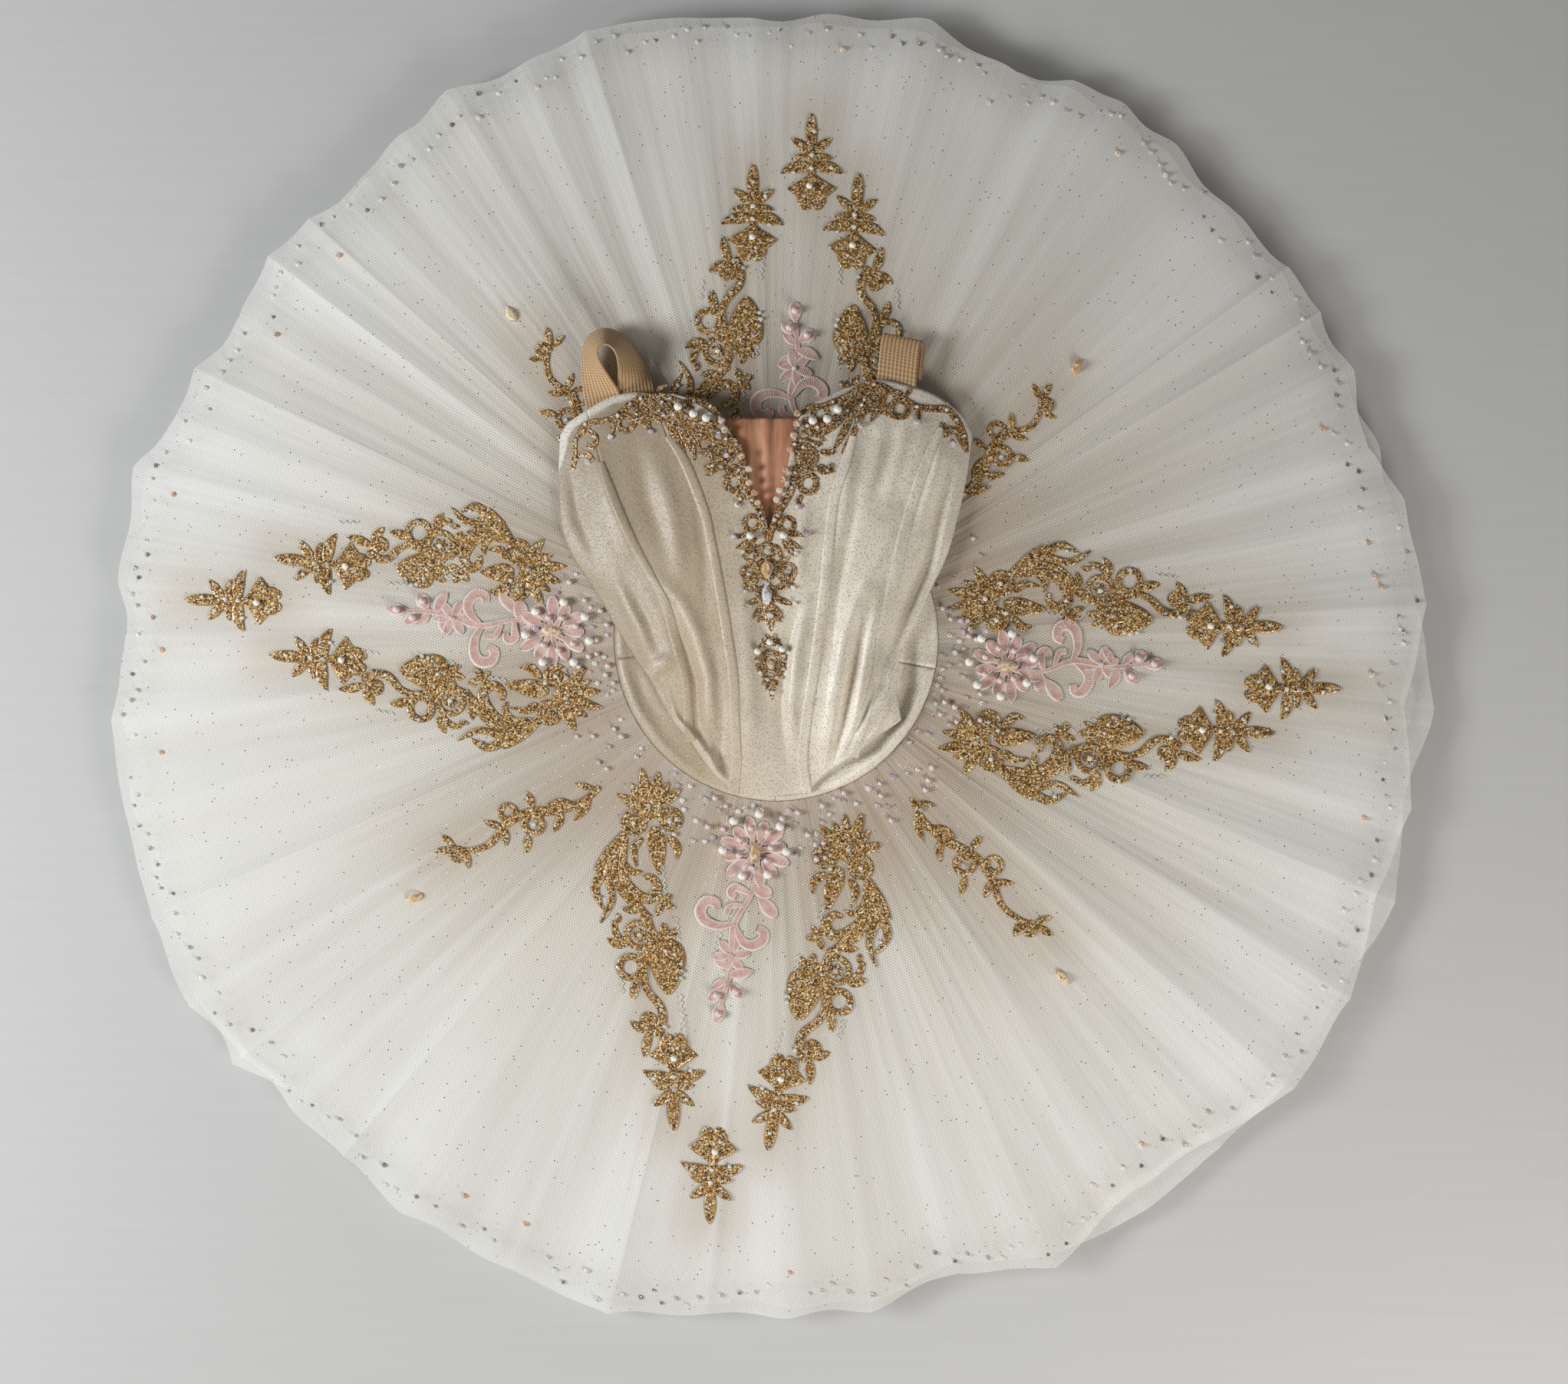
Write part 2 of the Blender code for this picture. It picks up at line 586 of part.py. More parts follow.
def back_outline():
    """Outline of the folded back of the bodice, inside that of its front."""
    inside = 0.86
    heights = (-58, -30, 0, 30, 60, 90, 120, 142)
    left = [(crossing(HEM_LEFT + SIDE_LEFT[1:], y) * inside, y) for y in heights]
    right = [(crossing(HEM_RIGHT + SIDE_RIGHT[1:], y) * inside, y) for y in heights]
    top = [(104, 160), (48, 160), (16, 146), (-36, 146), (-60, 158), (-118, 154)]
    return right + top + left[::-1]


def make_back(collection):
    """The back of the bodice, folded under its front: one rounded solid."""
    clearance = 0.9
    west, south, east, north = BODICE_GRID
    across, up = BACK_CELLS

    def place(column, row):
        x = west + (east - west) * column / across
        y = south + (north - south) * row / up
        return Vector((x, y, dome(x, y, folded=False) - 2.0 * BODICE_WALL))

    bm = surface(across, up, place)
    thicken(bm, lambda point: min(point.z - 0.1,
                                  support(point.xy.length) + clearance))
    sheet = finished(bm, "back_sheet", CUTTERS)
    cut_from(sheet, [back_outline()], "bodice_back", collection, VELVET_CREAM, 0.7)


def make_bodice(collection):
    """Panels, insert and casings of the bodice, all cut from sheets of one form."""
    shell = bodice_sheet("bodice_sheet", CUTTERS, 0.0, BODICE_WALL)
    for name, outline in bodice_outlines().items():
        cut_from(shell, [drawn_in(outline, SEAM_GAP / 2.0)], name, collection,
                 VELVET_CREAM, 0.65)
    top = BODICE_WALL + SEAM_GAP
    under = bodice_sheet("insert_sheet", CUTTERS, top, top + 1.2)
    cut_from(under, [insert_outline()], "insert", collection, NUDE, 0.6)
    make_back(collection)

    over = bodice_sheet("casing_sheet", CUTTERS, -SEAM_GAP - CASING_WALL, -SEAM_GAP)
    casings = (("casing_inner_left", INNER_LEFT[:9]), ("casing_outer_left", OUTER_LEFT[:9]),
               ("casing_inner_right", INNER_RIGHT[:9]),
               ("casing_outer_right", OUTER_RIGHT[:9]))
    for name, line in casings:
        band = ribbon(line, (CASING_WIDTH, CASING_WIDTH))
        cut_from(over, [drawn_in(band, 0.4)], name, collection, VELVET_CREAM, 0.6)


def make_neckline(collection):
    """Bullion lace round the neckline, and the drop at the centre front."""
    over = bodice_sheet("trim_sheet", CUTTERS, -SEAM_GAP - TRIM_WALL, -SEAM_GAP)
    for name, outline in (("neckline_left", TRIM_LEFT), ("neckline_right", TRIM_RIGHT)):
        cut_from(over, [outline], name, collection, ANTIQUE_GOLD, 0.4, 0.6)
    drop = [ribbon([(-4, 82), (-4, 60), (-4, 34), (-4, 8)], (10, 16, 13, 5)),
            bloom((-18, 71), 11, 5, 0.35, 0.4), bloom((10, 72), 11, 5, 0.35, 0.2),
            bloom((-17, 43), 8, 4, 0.3), bloom((9, 43), 8, 4, 0.3),
            leaf((-4, 30), math.radians(205), 18, 9), leaf((-4, 30), math.radians(-20), 18, 9)]
    cut_from(over, drop, "centre_drop", collection, ANTIQUE_GOLD, 0.4, 0.6)
    medallion = ribbon([(-3, 2), (-3, -8), (-3, -22), (-3, -34), (-3, -43)],
                       (8, 20, 22, 14, 3))
    cut_from(over, [medallion], "medallion", collection, ANTIQUE_GOLD, 0.4, 0.6)


def elastic(name, collection, width, stations):
    """Elastic loop through stations of centre and direction across, with a wall."""
    def place(column, row):
        centre, across = stations[column]
        half = Vector(across).normalized() * width / 2.0
        return Vector(centre) + half * (1 if row else -1)

    bm = surface(len(stations) - 1, 1, place)
    strap = finished(bm, name, collection, ELASTIC_BEIGE, 0.8)
    wall = strap.modifiers.new("wall", "SOLIDIFY")
    wall.thickness = STRAP_WALL * MM
    wall.offset = 0.0
    return strap


def make_straps(collection):
    """The two shoulder elastics: the left one twists, the right one folds over."""
    elastic("strap_left", collection, 26.0, (
        ((-121.5, 167.8, 54.4), (1, 0.53, 0)), ((-125, 176, 57), (1, 0.3, -0.1)),
        ((-127, 188, 61), (1, 0.1, -0.3)), ((-124, 199, 65), (0.7, 0.4, -0.6)),
        ((-116, 206, 67), (0.1, 1, -0.5)), ((-106, 204, 66), (-0.6, 0.9, -0.1)),
        ((-99, 196, 62), (-1, 0.4, 0.2)), ((-97, 184, 58), (-1, 0.1, 0.1)),
        ((-98, 173.7, 56.4), (-1, 0.07, 0))))
    fold = (1, -0.21, 0)
    elastic("strap_right", collection, 28.0, (
        ((84.5, 180.7, 55.6), fold), ((86, 194, 54.6), fold), ((87, 206, 53.6), fold),
        ((87.5, 210.5, 52.6), fold), ((87.5, 211, 51), fold), ((87, 206, 49.8), fold),
        ((86, 196, 50), fold), ((85, 185, 50), fold)))


# ---------------------------------------------------------------- lace on the plate

def placed(shapes, spray):
    """Turn shapes from a spray's own run to their place on the plate."""
    start = Vector(spray.start)
    run = (Vector(spray.end) - start).normalized()
    across = Vector((-run.y, run.x)) * spray.side
    return [[start + run * point[0] + across * point[1] for point in shape]
            for shape in shapes]


def make_sprays(collection):
    """Gold garlands and lilies, pink sprigs and small scrolls, on the overlay."""
    form = LAYERS[0]._replace(stations=(0, 2))
    sheet = finished(net_layer(form, SEAM_GAP, APPLIQUE_WALL, up=True),
                     "lace_sheet", CUTTERS)
    kinds = ((GARLANDS, garland_shapes, ANTIQUE_GOLD, 0.6),
             (TIP_LILIES, tip_lily_shapes, ANTIQUE_GOLD, 0.6),
             (SPRIGS, sprig_shapes, DUSTY_PINK, 0.0),
             (SCROLLS, scroll_shapes, ANTIQUE_GOLD, 0.6))
    for sprays, shapes_of, colour, metallic in kinds:
        for spray in sprays:
            length = (Vector(spray.end) - Vector(spray.start)).length
            shapes = placed(shapes_of(length, spray.covered), spray)
            cut_from(sheet, shapes, spray.name, collection, colour, 0.45, metallic)


for leftover in list(bpy.data.objects):
    bpy.data.objects.remove(leftover)

TUTU = bpy.data.collections.new("ballet_tutu")
CUTTERS = bpy.data.collections.new("cutters")
bpy.context.scene.collection.children.link(TUTU)
bpy.context.scene.collection.children.link(CUTTERS)

make_plate(TUTU)
make_knickers(TUTU)
make_basque(TUTU)
make_bodice(TUTU)
make_neckline(TUTU)
make_straps(TUTU)
make_sprays(TUTU)
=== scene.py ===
"""Looks of a ballet tutu that lies on its own plate of net, its bodice fallen back over it.

Sizes are millimetres, brought to metres where a mesh is made.  The origin is the middle
of the hip ring on the floor, +X runs to the right of someone who looks down on the
garment, +Y from its front to its back, and +Z up.
"""
import bisect
import logging
import math
import random
from dataclasses import dataclass, field, replace
from enum import Enum
from functools import cached_property
from typing import Callable, Iterable, Iterator, Sequence

import bmesh
import bpy
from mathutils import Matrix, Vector


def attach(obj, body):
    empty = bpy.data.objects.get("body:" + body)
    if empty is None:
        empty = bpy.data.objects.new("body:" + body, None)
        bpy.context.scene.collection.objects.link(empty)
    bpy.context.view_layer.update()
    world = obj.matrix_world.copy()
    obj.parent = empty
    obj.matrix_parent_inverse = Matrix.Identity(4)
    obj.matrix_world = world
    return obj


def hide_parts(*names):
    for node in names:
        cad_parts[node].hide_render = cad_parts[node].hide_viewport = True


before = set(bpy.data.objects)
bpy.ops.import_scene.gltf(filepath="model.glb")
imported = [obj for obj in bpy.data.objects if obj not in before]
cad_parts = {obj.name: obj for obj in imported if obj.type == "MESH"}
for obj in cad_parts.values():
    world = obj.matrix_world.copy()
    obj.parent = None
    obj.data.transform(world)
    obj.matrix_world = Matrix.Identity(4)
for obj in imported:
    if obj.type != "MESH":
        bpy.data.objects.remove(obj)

LOG = logging.getLogger("tutu")

MM = 0.001
ROOT = "root"

Point = tuple[float, float]
Colour = tuple[float, float, float]
Surface = Callable[[float, float], float]
Line = Callable[[float], Vector]
Mesh = bmesh.types.BMesh
Corners = list[bmesh.types.BMVert]
Piece = bpy.types.Object
Material = bpy.types.Material

# ---------- sizes of the garment

HIP_RADIUS = 114.0
SEAM_GAP = 0.3
PLATE_REACH = 470.0
LOBE_DIP = 2.8
CALM_ANGLE = 166.0
CALM_SPREAD = 24.0
BASQUE_HEIGHT = 51.5
BASQUE_SLOPE = 0.21
BASQUE_INNER = 80.0
EDGE_LIFT = 3.8
DOME_POWER = 2.5
HIGHEST_PLEAT = 6.0
OVERLAY_HIP, OVERLAY_RIM = 50.0, 17.0
INSERT_TOP = 154.5
INSERT_DEPTH = 2.6
CASING_WIDTH = 8.2
LILY_LENGTH, LILY_ASIDE = 66.0, 6.4
SPRIG_LENGTH = 124.7
SPRIG_MIDDLE = (3.6, -0.8)
BEAD_MARGIN = -3.0
WELD, PATCH_WELD = 0.0005, 0.01
RELIEF_FULL = 3.0


class Slot(Enum):
    """Material slots."""

    NET_IVORY = "net_ivory"
    NET_WHITE = "net_white"
    VELVET = "velvet"
    NUDE_SATIN = "nude_satin"
    ELASTIC = "elastic"
    GOLD_LACE = "gold_lace"
    PINK_LACE = "pink_lace"
    PEARL = "pearl"
    CRYSTAL = "crystal"


class Held(Enum):
    """Ways in which a sheet of cloth is held."""

    LAID = "laid"
    GATHERED = "gathered"
    FOLDED = "folded"


# ---------- plain sums


def table(text: str) -> list[list[tuple]]:
    """Rows of a written table; lines that begin with # are remarks.

    Args:
        text: one row to a line, its parts divided by "/"; a part has numbers, and points
            written x,y.

    Returns:
        For each row its parts, as tuples of numbers and points.
    """
    return [[tuple(tuple(map(float, word.split(","))) if "," in word else float(word)
                   for word in part.split()) for part in line.split("/")]
            for line in text.strip().splitlines() if not line.startswith("#")]


def entries(text: str) -> list[tuple]:
    """Every part of a written table, in one list."""
    return [part for row in table(text) for part in row]


class SmoothTable:
    """A smooth curve through rows of (place, value), without overshoot between rows."""

    def __init__(self, rows: Iterable[Point]) -> None:
        """Sort the rows by place and work out the slope at each.

        Args:
            rows: places and values, in any order.
        """
        ordered = sorted(rows)
        self.places = [row[0] for row in ordered]
        self.values = [row[1] for row in ordered]
        steps = [(self.values[i + 1] - self.values[i])
                 / max(self.places[i + 1] - self.places[i], 1e-6)
                 for i in range(len(ordered) - 1)]
        self.slopes = [steps[0]] + [
            0.0 if a * b <= 0 else 2.0 * a * b / (a + b) for a, b in zip(steps, steps[1:])
        ] + [steps[-1]]

    def __call__(self, place: float) -> float:
        """Value at a place; beyond the ends, the value of the end.

        Args:
            place: where to read the curve.

        Returns:
            The value there.
        """
        if place <= self.places[0]:
            return self.values[0]
        if place >= self.places[-1]:
            return self.values[-1]
        row = bisect.bisect_right(self.places, place) - 1
        width = self.places[row + 1] - self.places[row]
        t = (place - self.places[row]) / width
        low, high = self.values[row], self.values[row + 1]
        rise, fall = self.slopes[row] * width, self.slopes[row + 1] * width
        return (low * (1 + 2 * t) * (1 - t) ** 2 + rise * t * (1 - t) ** 2
                + high * t * t * (3 - 2 * t) + fall * t * t * (t - 1))


def spline(points: Sequence[Sequence[float]], count: int) -> list[Vector]:
    """Points at even steps of parameter on a smooth line through the given ones.

    Args:
        points: the points that the line passes, in two or three dimensions.
        count: how many steps the result has.

    Returns:
        count + 1 points from the first given one to the last.
    """
    knots = [Vector(point) for point in points]
    last = len(knots) - 1
    found = []
    for step in range(count + 1):
        place = step / count * last
        row = min(int(place), last - 1)
        t = place - row
        a, b = knots[max(row - 1, 0)], knots[row]
        c, d = knots[row + 1], knots[min(row + 2, last)]
        found.append(0.5 * (2 * b + (c - a) * t + (2 * a - 5 * b + 4 * c - d) * t * t
                            + (3 * b - a - 3 * c + d) * t ** 3))
    return found


def run_lengths(points: Sequence[Vector]) -> list[float]:
    """Length of a line up to each of its points."""
    lengths = [0.0]
    for before, after in zip(points, points[1:]):
        lengths.append(lengths[-1] + (after - before).length)
    return lengths


def between(values: Sequence[float], share: float) -> float:
    """Value at a share of the way along evenly spaced values, straight between them."""
    place = max(0.0, min(1.0, share)) * (len(values) - 1)
    row = min(int(place), len(values) - 2)
    return values[row] + (values[row + 1] - values[row]) * (place - row)


def even_line(points: Sequence[Sequence[float]], steps_each: int = 8) -> Line:
    """A smooth line through points, read by the share of its length.

    Args:
        points: the points that the line passes.
        steps_each: how finely each stretch is divided to measure it.

    Returns:
        A function from a share of the length to the point there.
    """
    fine = spline(points, (len(points) - 1) * steps_each)
    lengths = run_lengths(fine)

    def read(share: float) -> Vector:
        """Point at a share of the line's length."""
        place = max(0.0, min(1.0, share)) * lengths[-1]
        row = min(bisect.bisect_right(lengths, place) - 1, len(fine) - 2)
        part = (place - lengths[row]) / max(lengths[row + 1] - lengths[row], 1e-9)
        return fine[row].lerp(fine[row + 1], part)

    return read


def two_part_line(lower: Line, upper: Line, turn: float) -> Line:
    """One line made of two, which meet at a given share.

    Args:
        lower: the first part.
        upper: the second part, which begins where the first ends.
        turn: the share of the whole at which they meet.

    Returns:
        A function from a share of the whole to the point there.
    """
    return lambda share: (lower(share / turn) if share < turn
                          else upper((share - turn) / (1.0 - turn)))


def smooth_step(low: float, high: float, value: float) -> float:
    """0 below low, 1 above high, and a soft ramp between."""
    t = max(0.0, min(1.0, (value - low) / (high - low)))
    return t * t * (3.0 - 2.0 * t)


def lerp(low: float, high: float, share: float) -> float:
    """Value at a share of the way from one to another."""
    return low + (high - low) * share


def polar(radius: float, angle: float, height: float) -> Vector:
    """A point from its radius, its direction in radians and its height."""
    return Vector((radius * math.cos(angle), radius * math.sin(angle), height))


# ---------- mesh tools


def grid_corners(bm: Mesh, columns: int,
                 rows: int) -> Iterator[tuple[bmesh.types.BMVert, int, int]]:
    """Add a grid of so many cells, and give its corners, each with its column and row."""
    made = bmesh.ops.create_grid(bm, x_segments=columns, y_segments=rows, size=0.5)
    for corner in made["verts"]:
        yield corner, round((corner.co.x + 0.5) * columns), round((corner.co.y + 0.5) * rows)


def face_up(bm: Mesh) -> Mesh:
    """Turn every face of a mesh upwards."""
    bm.normal_update()
    bmesh.ops.reverse_faces(bm, faces=[face for face in bm.faces if face.normal.z < 0])
    return bm


def shade(colour: Colour, share: float) -> Colour:
    """A colour made darker or lighter, each of its parts 1 at most."""
    return tuple(min(1.0, share * part) for part in colour)


# ---------- finishes


class Wiring:
    """Short names for wiring the nodes of one material."""

    def __init__(self, name: str) -> None:
        """Start a material with its one shader."""
        self.material = bpy.data.materials.new(name)
        self.material.use_nodes = True
        self.tree = self.material.node_tree
        self.shader = self.tree.nodes["Principled BSDF"]

    @cached_property
    def place(self) -> object:
        """Object coordinates, in metres."""
        return self.node("TexCoord").outputs["Object"]

    def node(self, kind: str, *values: object, **settings: object) -> bpy.types.Node:
        """Add a node, set its own properties and feed its first inputs."""
        made = self.tree.nodes.new("ShaderNode" + kind)
        for key, value in settings.items():
            setattr(made, key, value)
        for socket, value in zip(made.inputs, values):
            self.feed(socket, value)
        return made

    def feed(self, socket: bpy.types.NodeSocket, value: object) -> None:
        """Link a socket to another, or set its number or colour."""
        if isinstance(value, bpy.types.NodeSocket):
            self.tree.links.new(value, socket)
        elif isinstance(value, tuple) and len(value) == 3 and socket.type == "RGBA":
            socket.default_value = (*value, 1.0)
        else:
            socket.default_value = value

    def fill(self, node: bpy.types.Node, **values: object) -> bpy.types.Node:
        """Set or link a node's inputs; a name's underscores stand for spaces."""
        for key, value in values.items():
            self.feed(node.inputs[key.replace("_", " ")], value)
        return node

    def set(self, **values: object) -> None:
        """Set or link the shader's inputs."""
        self.fill(self.shader, **values)

    def sum(self, operation: str, *values: object, clamp: bool = False) -> object:
        """Result of a Math node."""
        return self.node("Math", *values, operation=operation, use_clamp=clamp).outputs[0]

    def times(self, first: object, second: object) -> object:
        """Product of two numbers."""
        return self.sum("MULTIPLY", first, second)

    def vector(self, operation: str, *values: object) -> object:
        """Result of a Vector Math node: a vector, or a number for a length or dot product."""
        made = self.node("VectorMath", *values, operation=operation)
        return made.outputs["Value" if operation in ("LENGTH", "DOT_PRODUCT") else "Vector"]

    def over(self, ground: object, *layers: tuple[object, object]) -> object:
        """A ground colour under (factor, colour) layers, the lowest layer first."""
        for factor, colour in layers:
            made = self.node("Mix", factor, data_type="RGBA", clamp_factor=True)
            self.feed(made.inputs[6], ground)
            self.feed(made.inputs[7], colour)
            ground = made.outputs[2]
        return ground

    def range(self, *values: object) -> object:
        """A value taken smoothly from a range (low, high) to another, 0 to 1 if not given."""
        made = self.node("MapRange", *values, interpolation_type="SMOOTHSTEP")
        return made.outputs[0]

    def ramp(self, value: object, stops: Sequence[tuple[float, Colour]],
             stepped: bool = False) -> object:
        """Colour on a ramp of (place, colour) stops."""
        made = self.node("ValToRGB", value)
        ramp = made.color_ramp
        if stepped:
            ramp.interpolation = "CONSTANT"
        while len(ramp.elements) < len(stops):
            ramp.elements.new(1.0)
        for element, (place, colour) in zip(ramp.elements, stops):
            element.position = place
            element.color = (*colour, 1.0)
        return made.outputs[0]

    def attribute(self, name: str) -> object:
        """A number kept on the mesh's corners."""
        return self.node("Attribute", attribute_name=name).outputs["Fac"]

    def noise(self, vector: object, scale: float, detail: float = 2.0) -> object:
        """Soft noise from 0 to 1."""
        return self.fill(self.node("TexNoise"), Vector=vector, Scale=scale,
                         Detail=detail).outputs[0]

    def cells(self, vector: object, scale: float, output: str = "Distance") -> object:
        """Cells strewn at random: the distance to each middle, or its own colour."""
        return self.fill(self.node("TexVoronoi"), Vector=vector, Scale=scale).outputs[output]

    def chance(self, vector: object, scale: float) -> object:
        """A different number from 0 to 1 for each of the strewn cells."""
        return self.node("SeparateColor", self.cells(vector, scale, "Color")).outputs[0]

    def bump(self, height: object, strength: float, depth: float) -> None:
        """Let a height shape the shader's normal; depth is in millimetres."""
        made = self.fill(self.node("Bump"), Strength=strength, Distance=depth * MM,
                         Height=height)
        self.set(Normal=made.outputs[0])


@dataclass(frozen=True)
class Finish:
    """A finish that wires its own material."""

    name: str

    def wire(self, wiring: Wiring) -> None:
        """Wire the material; each kind of finish does this in its own way."""
        raise NotImplementedError

    def material(self) -> Material:
        """Make the material."""
        wiring = Wiring(self.name)
        self.wire(wiring)
        return wiring.material


@dataclass(frozen=True)
class NetFinish(Finish):
    """Stiff glittered net: a mesh of small holes, radial streaks and strewn specks, with painted
    shade in its holes, in the pleats' troughs near the hip and near the lace.
    """

    hip: Colour
    middle: Colour
    rim: Colour
    opacity: float
    rim_opacity: float
    mesh_pitch: float = 2.05
    speck_spacing: float = 6.0
    specks: bool = True

    def holes(self, wiring: Wiring) -> object:
        """Pattern of the net's six-sided holes, near 1 in the middle of each hole."""
        pace = 4.0 * math.pi / (math.sqrt(3.0) * self.mesh_pitch * MM)
        total = 0.0
        for turn in (8.0, 68.0, 128.0):
            angle = math.radians(turn)
            wave = (pace * math.cos(angle), pace * math.sin(angle), 0.0)
            beat = wiring.sum("COSINE", wiring.vector("DOT_PRODUCT", wiring.place, wave))
            total = wiring.sum("ADD", total, beat) if total else beat
        return wiring.range(total, -0.6, 1.8)

    @staticmethod
    def streaks(wiring: Wiring, flat: object, around: float) -> object:
        """Noise that is fine round the plate and long from hip to rim."""
        spread = wiring.fill(wiring.node("VectorMath", wiring.vector("NORMALIZE", flat),
                                         operation="SCALE"), Scale=around)
        rise = wiring.node("CombineXYZ", 0.0, 0.0,
                           wiring.times(wiring.vector("LENGTH", flat), 3.5))
        return wiring.noise(wiring.vector("ADD", spread.outputs[0], rise.outputs[0]), 1.0)

    def wire(self, wiring: Wiring) -> None:
        """Wire the net's material."""
        flat = wiring.vector("MULTIPLY", wiring.place, (1.0, 1.0, 0.0))
        holes = self.holes(wiring)
        broad, fine = (self.streaks(wiring, flat, around) for around in (7.0, 26.0))
        share = wiring.range(wiring.vector("LENGTH", flat), 0.11, 0.45)
        shine = wiring.times(wiring.range(fine, 0.42, 0.66),
                             wiring.range(share, 0.0, 0.4, 0.16, 0.42))
        ground = wiring.over(
            wiring.ramp(share, ((0.0, self.hip), (0.30, self.middle), (1.0, self.rim))),
            # painted shade in the pleats' troughs near the hip
            (wiring.times(wiring.attribute("valley"), 0.5), shade(self.hip, 0.66)),
            (wiring.range(broad, 0.36, 0.64, 0.30, 0.0), shade(self.middle, 0.74)),
            (shine, shade(self.rim, 1.14)),
            (wiring.times(wiring.attribute("tone"), 0.34), shade(self.middle, 0.84)),
            # painted shade: a tan darkening near the lace
            (wiring.times(wiring.attribute("glow"), 0.42), (0.56, 0.41, 0.27)),
            (wiring.times(wiring.attribute("fold"), 0.50), (0.95, 0.94, 0.92)),
            # painted shade: the mesh's holes are darkened as though shaded layers showed through them
            (wiring.times(holes, wiring.range(share, 0.0, 0.8, 0.56, 0.16)),
             shade(self.middle, 0.42)))
        if self.specks:
            ground = self.strewn(wiring, flat, ground)
        wiring.set(Base_Color=ground, Roughness=0.75, Sheen_Weight=0.2, Sheen_Roughness=0.5)
        wiring.bump(wiring.sum("ADD", fine, wiring.times(broad, 2.0)), 0.6, 2.2)
        near = wiring.range(wiring.attribute("rim"), 0.0, 44.0, self.rim_opacity, self.opacity)
        wiring.set(Alpha=wiring.sum("SUBTRACT", near, wiring.times(holes, 0.20), clamp=True))

    def strewn(self, wiring: Wiring, flat: object, ground: object) -> object:
        """Dark and bright glitter specks over a ground colour."""
        scale = 1.0 / (self.speck_spacing * MM)
        moved = wiring.vector("ADD", flat, (0.37, 0.19, 0.0))
        return wiring.over(
            ground,
            (wiring.range(wiring.cells(flat, scale), 0.065, 0.115, 0.95, 0.0),
             (0.13, 0.10, 0.075)),
            (wiring.range(wiring.cells(moved, scale * 1.1), 0.06, 0.11, 1.0, 0.0),
             (1.0, 1.0, 1.0)))


@dataclass(frozen=True)
class VelvetFinish(Finish):
    """Cream stretch velvet with a foil glitter: dark pin dots and bright grains, under painted shade
    and sheen that darken its left side, lighten its right, light its crease ridges and shade their
    troughs.
    """

    # shade is the colour of the painted shaded left side and bright that of the painted lit right
    # side; shade also colours the cloud, the dots and the seams.
    ground: Colour
    shade: Colour
    bright: Colour
    edge: Colour = (0.78, 0.73, 0.65)
    dot_pitch: float = 1.42
    dot_depth: float = 0.68
    grain_scale: float = 420.0

    def wire(self, wiring: Wiring) -> None:
        """Wire the velvet's material."""
        place = wiring.place
        # painted shade and sheen: darker towards the left and lighter towards the right, along x
        painted_side_light = wiring.range(wiring.node("SeparateXYZ", place).outputs[0], -0.14, 0.07)
        relief = wiring.attribute("relief")
        dots = wiring.range(wiring.cells(place, 1.0 / (self.dot_pitch * MM)), 0.17, 0.38,
                            self.dot_depth, 0.0)
        seam = wiring.range(wiring.attribute("across"), 0.86, 0.95)
        ground = wiring.over(
            wiring.ramp(painted_side_light, ((0.0, shade(self.shade, 0.84)), (0.38, shade(self.shade, 1.16)),
                              (0.68, self.ground), (1.0, self.bright))),
            (wiring.range(wiring.noise(place, 26.0, 3.0), 0.38, 0.66, 0.0, 0.30),
             shade(self.shade, 0.86)),
            # painted highlight on the creases' ridges and painted shade in their troughs
            (wiring.range(relief, 0.1, 0.9, 0.0, 0.22), (0.98, 0.92, 0.81)),
            (wiring.range(relief, -1.0, -0.2, 0.50, 0.0), (0.40, 0.285, 0.17)),
            (wiring.attribute("trim"), self.edge),
            (dots, shade(self.shade, 0.36)),
            (self.sparks(wiring), (1.0, 0.97, 0.88)),
            (wiring.times(seam, 0.50), shade(self.shade, 0.40)))
        wiring.set(Base_Color=ground, Roughness=0.42, Sheen_Weight=0.12,
                   Sheen_Roughness=0.4, Sheen_Tint=(1.0, 0.97, 0.90))
        wiring.bump(wiring.sum("SUBTRACT", wiring.noise(place, self.grain_scale),
                               wiring.times(dots, 0.8)), 0.4, 0.4)

    def sparks(self, wiring: Wiring) -> object:
        """Few and fine bright grains."""
        moved = wiring.vector("ADD", wiring.place, (0.31, 0.17, 0.0))
        near = wiring.range(wiring.cells(moved, self.grain_scale), 0.08, 0.16, 1.0, 0.0)
        lucky = wiring.range(wiring.chance(moved, self.grain_scale), 0.80, 0.82)
        return wiring.times(near, lucky)


@dataclass(frozen=True)
class LaceFinish(Finish):
    """Corded lace filled with glitter or with satin stitches."""

    dark: Colour
    ground: Colour
    light: Colour
    spark: Colour
    cord: Colour
    grain: float
    metallic: float
    stitched: bool
    inside: float = 0.76

    def wire(self, wiring: Wiring) -> None:
        """Wire the lace's material."""
        place = wiring.place
        height = chance = wiring.chance(place, 1.0 / (self.grain * MM))
        body = wiring.ramp(chance, ((0.0, self.dark), (0.31, self.ground),
                                    (0.60, self.light), (0.83, self.spark)), stepped=True)
        if self.stitched:
            beat = wiring.sum("SINE", wiring.times(wiring.attribute("along"), 5.0))
            height = wiring.range(beat, -0.8, 0.8)
            cloud = wiring.range(wiring.noise(place, 160.0), 0.35, 0.7, 0.0, 0.6)
            body = wiring.over(self.ground, (height, self.light), (cloud, self.dark))
        edge = wiring.range(wiring.attribute("across"), self.inside, self.inside + 0.10)
        cord = wiring.over(self.cord, (wiring.noise(place, 1500.0, 1.0),
                                       shade(self.cord, 0.62)))
        wiring.set(Base_Color=wiring.over(body, (edge, cord)), Metallic=self.metallic,
                   Roughness=wiring.range(chance, 0.0, 1.0, 0.60, 0.30),
                   Sheen_Weight=0.1 if self.stitched else 0.0)
        wiring.bump(height, 0.6, 0.3)


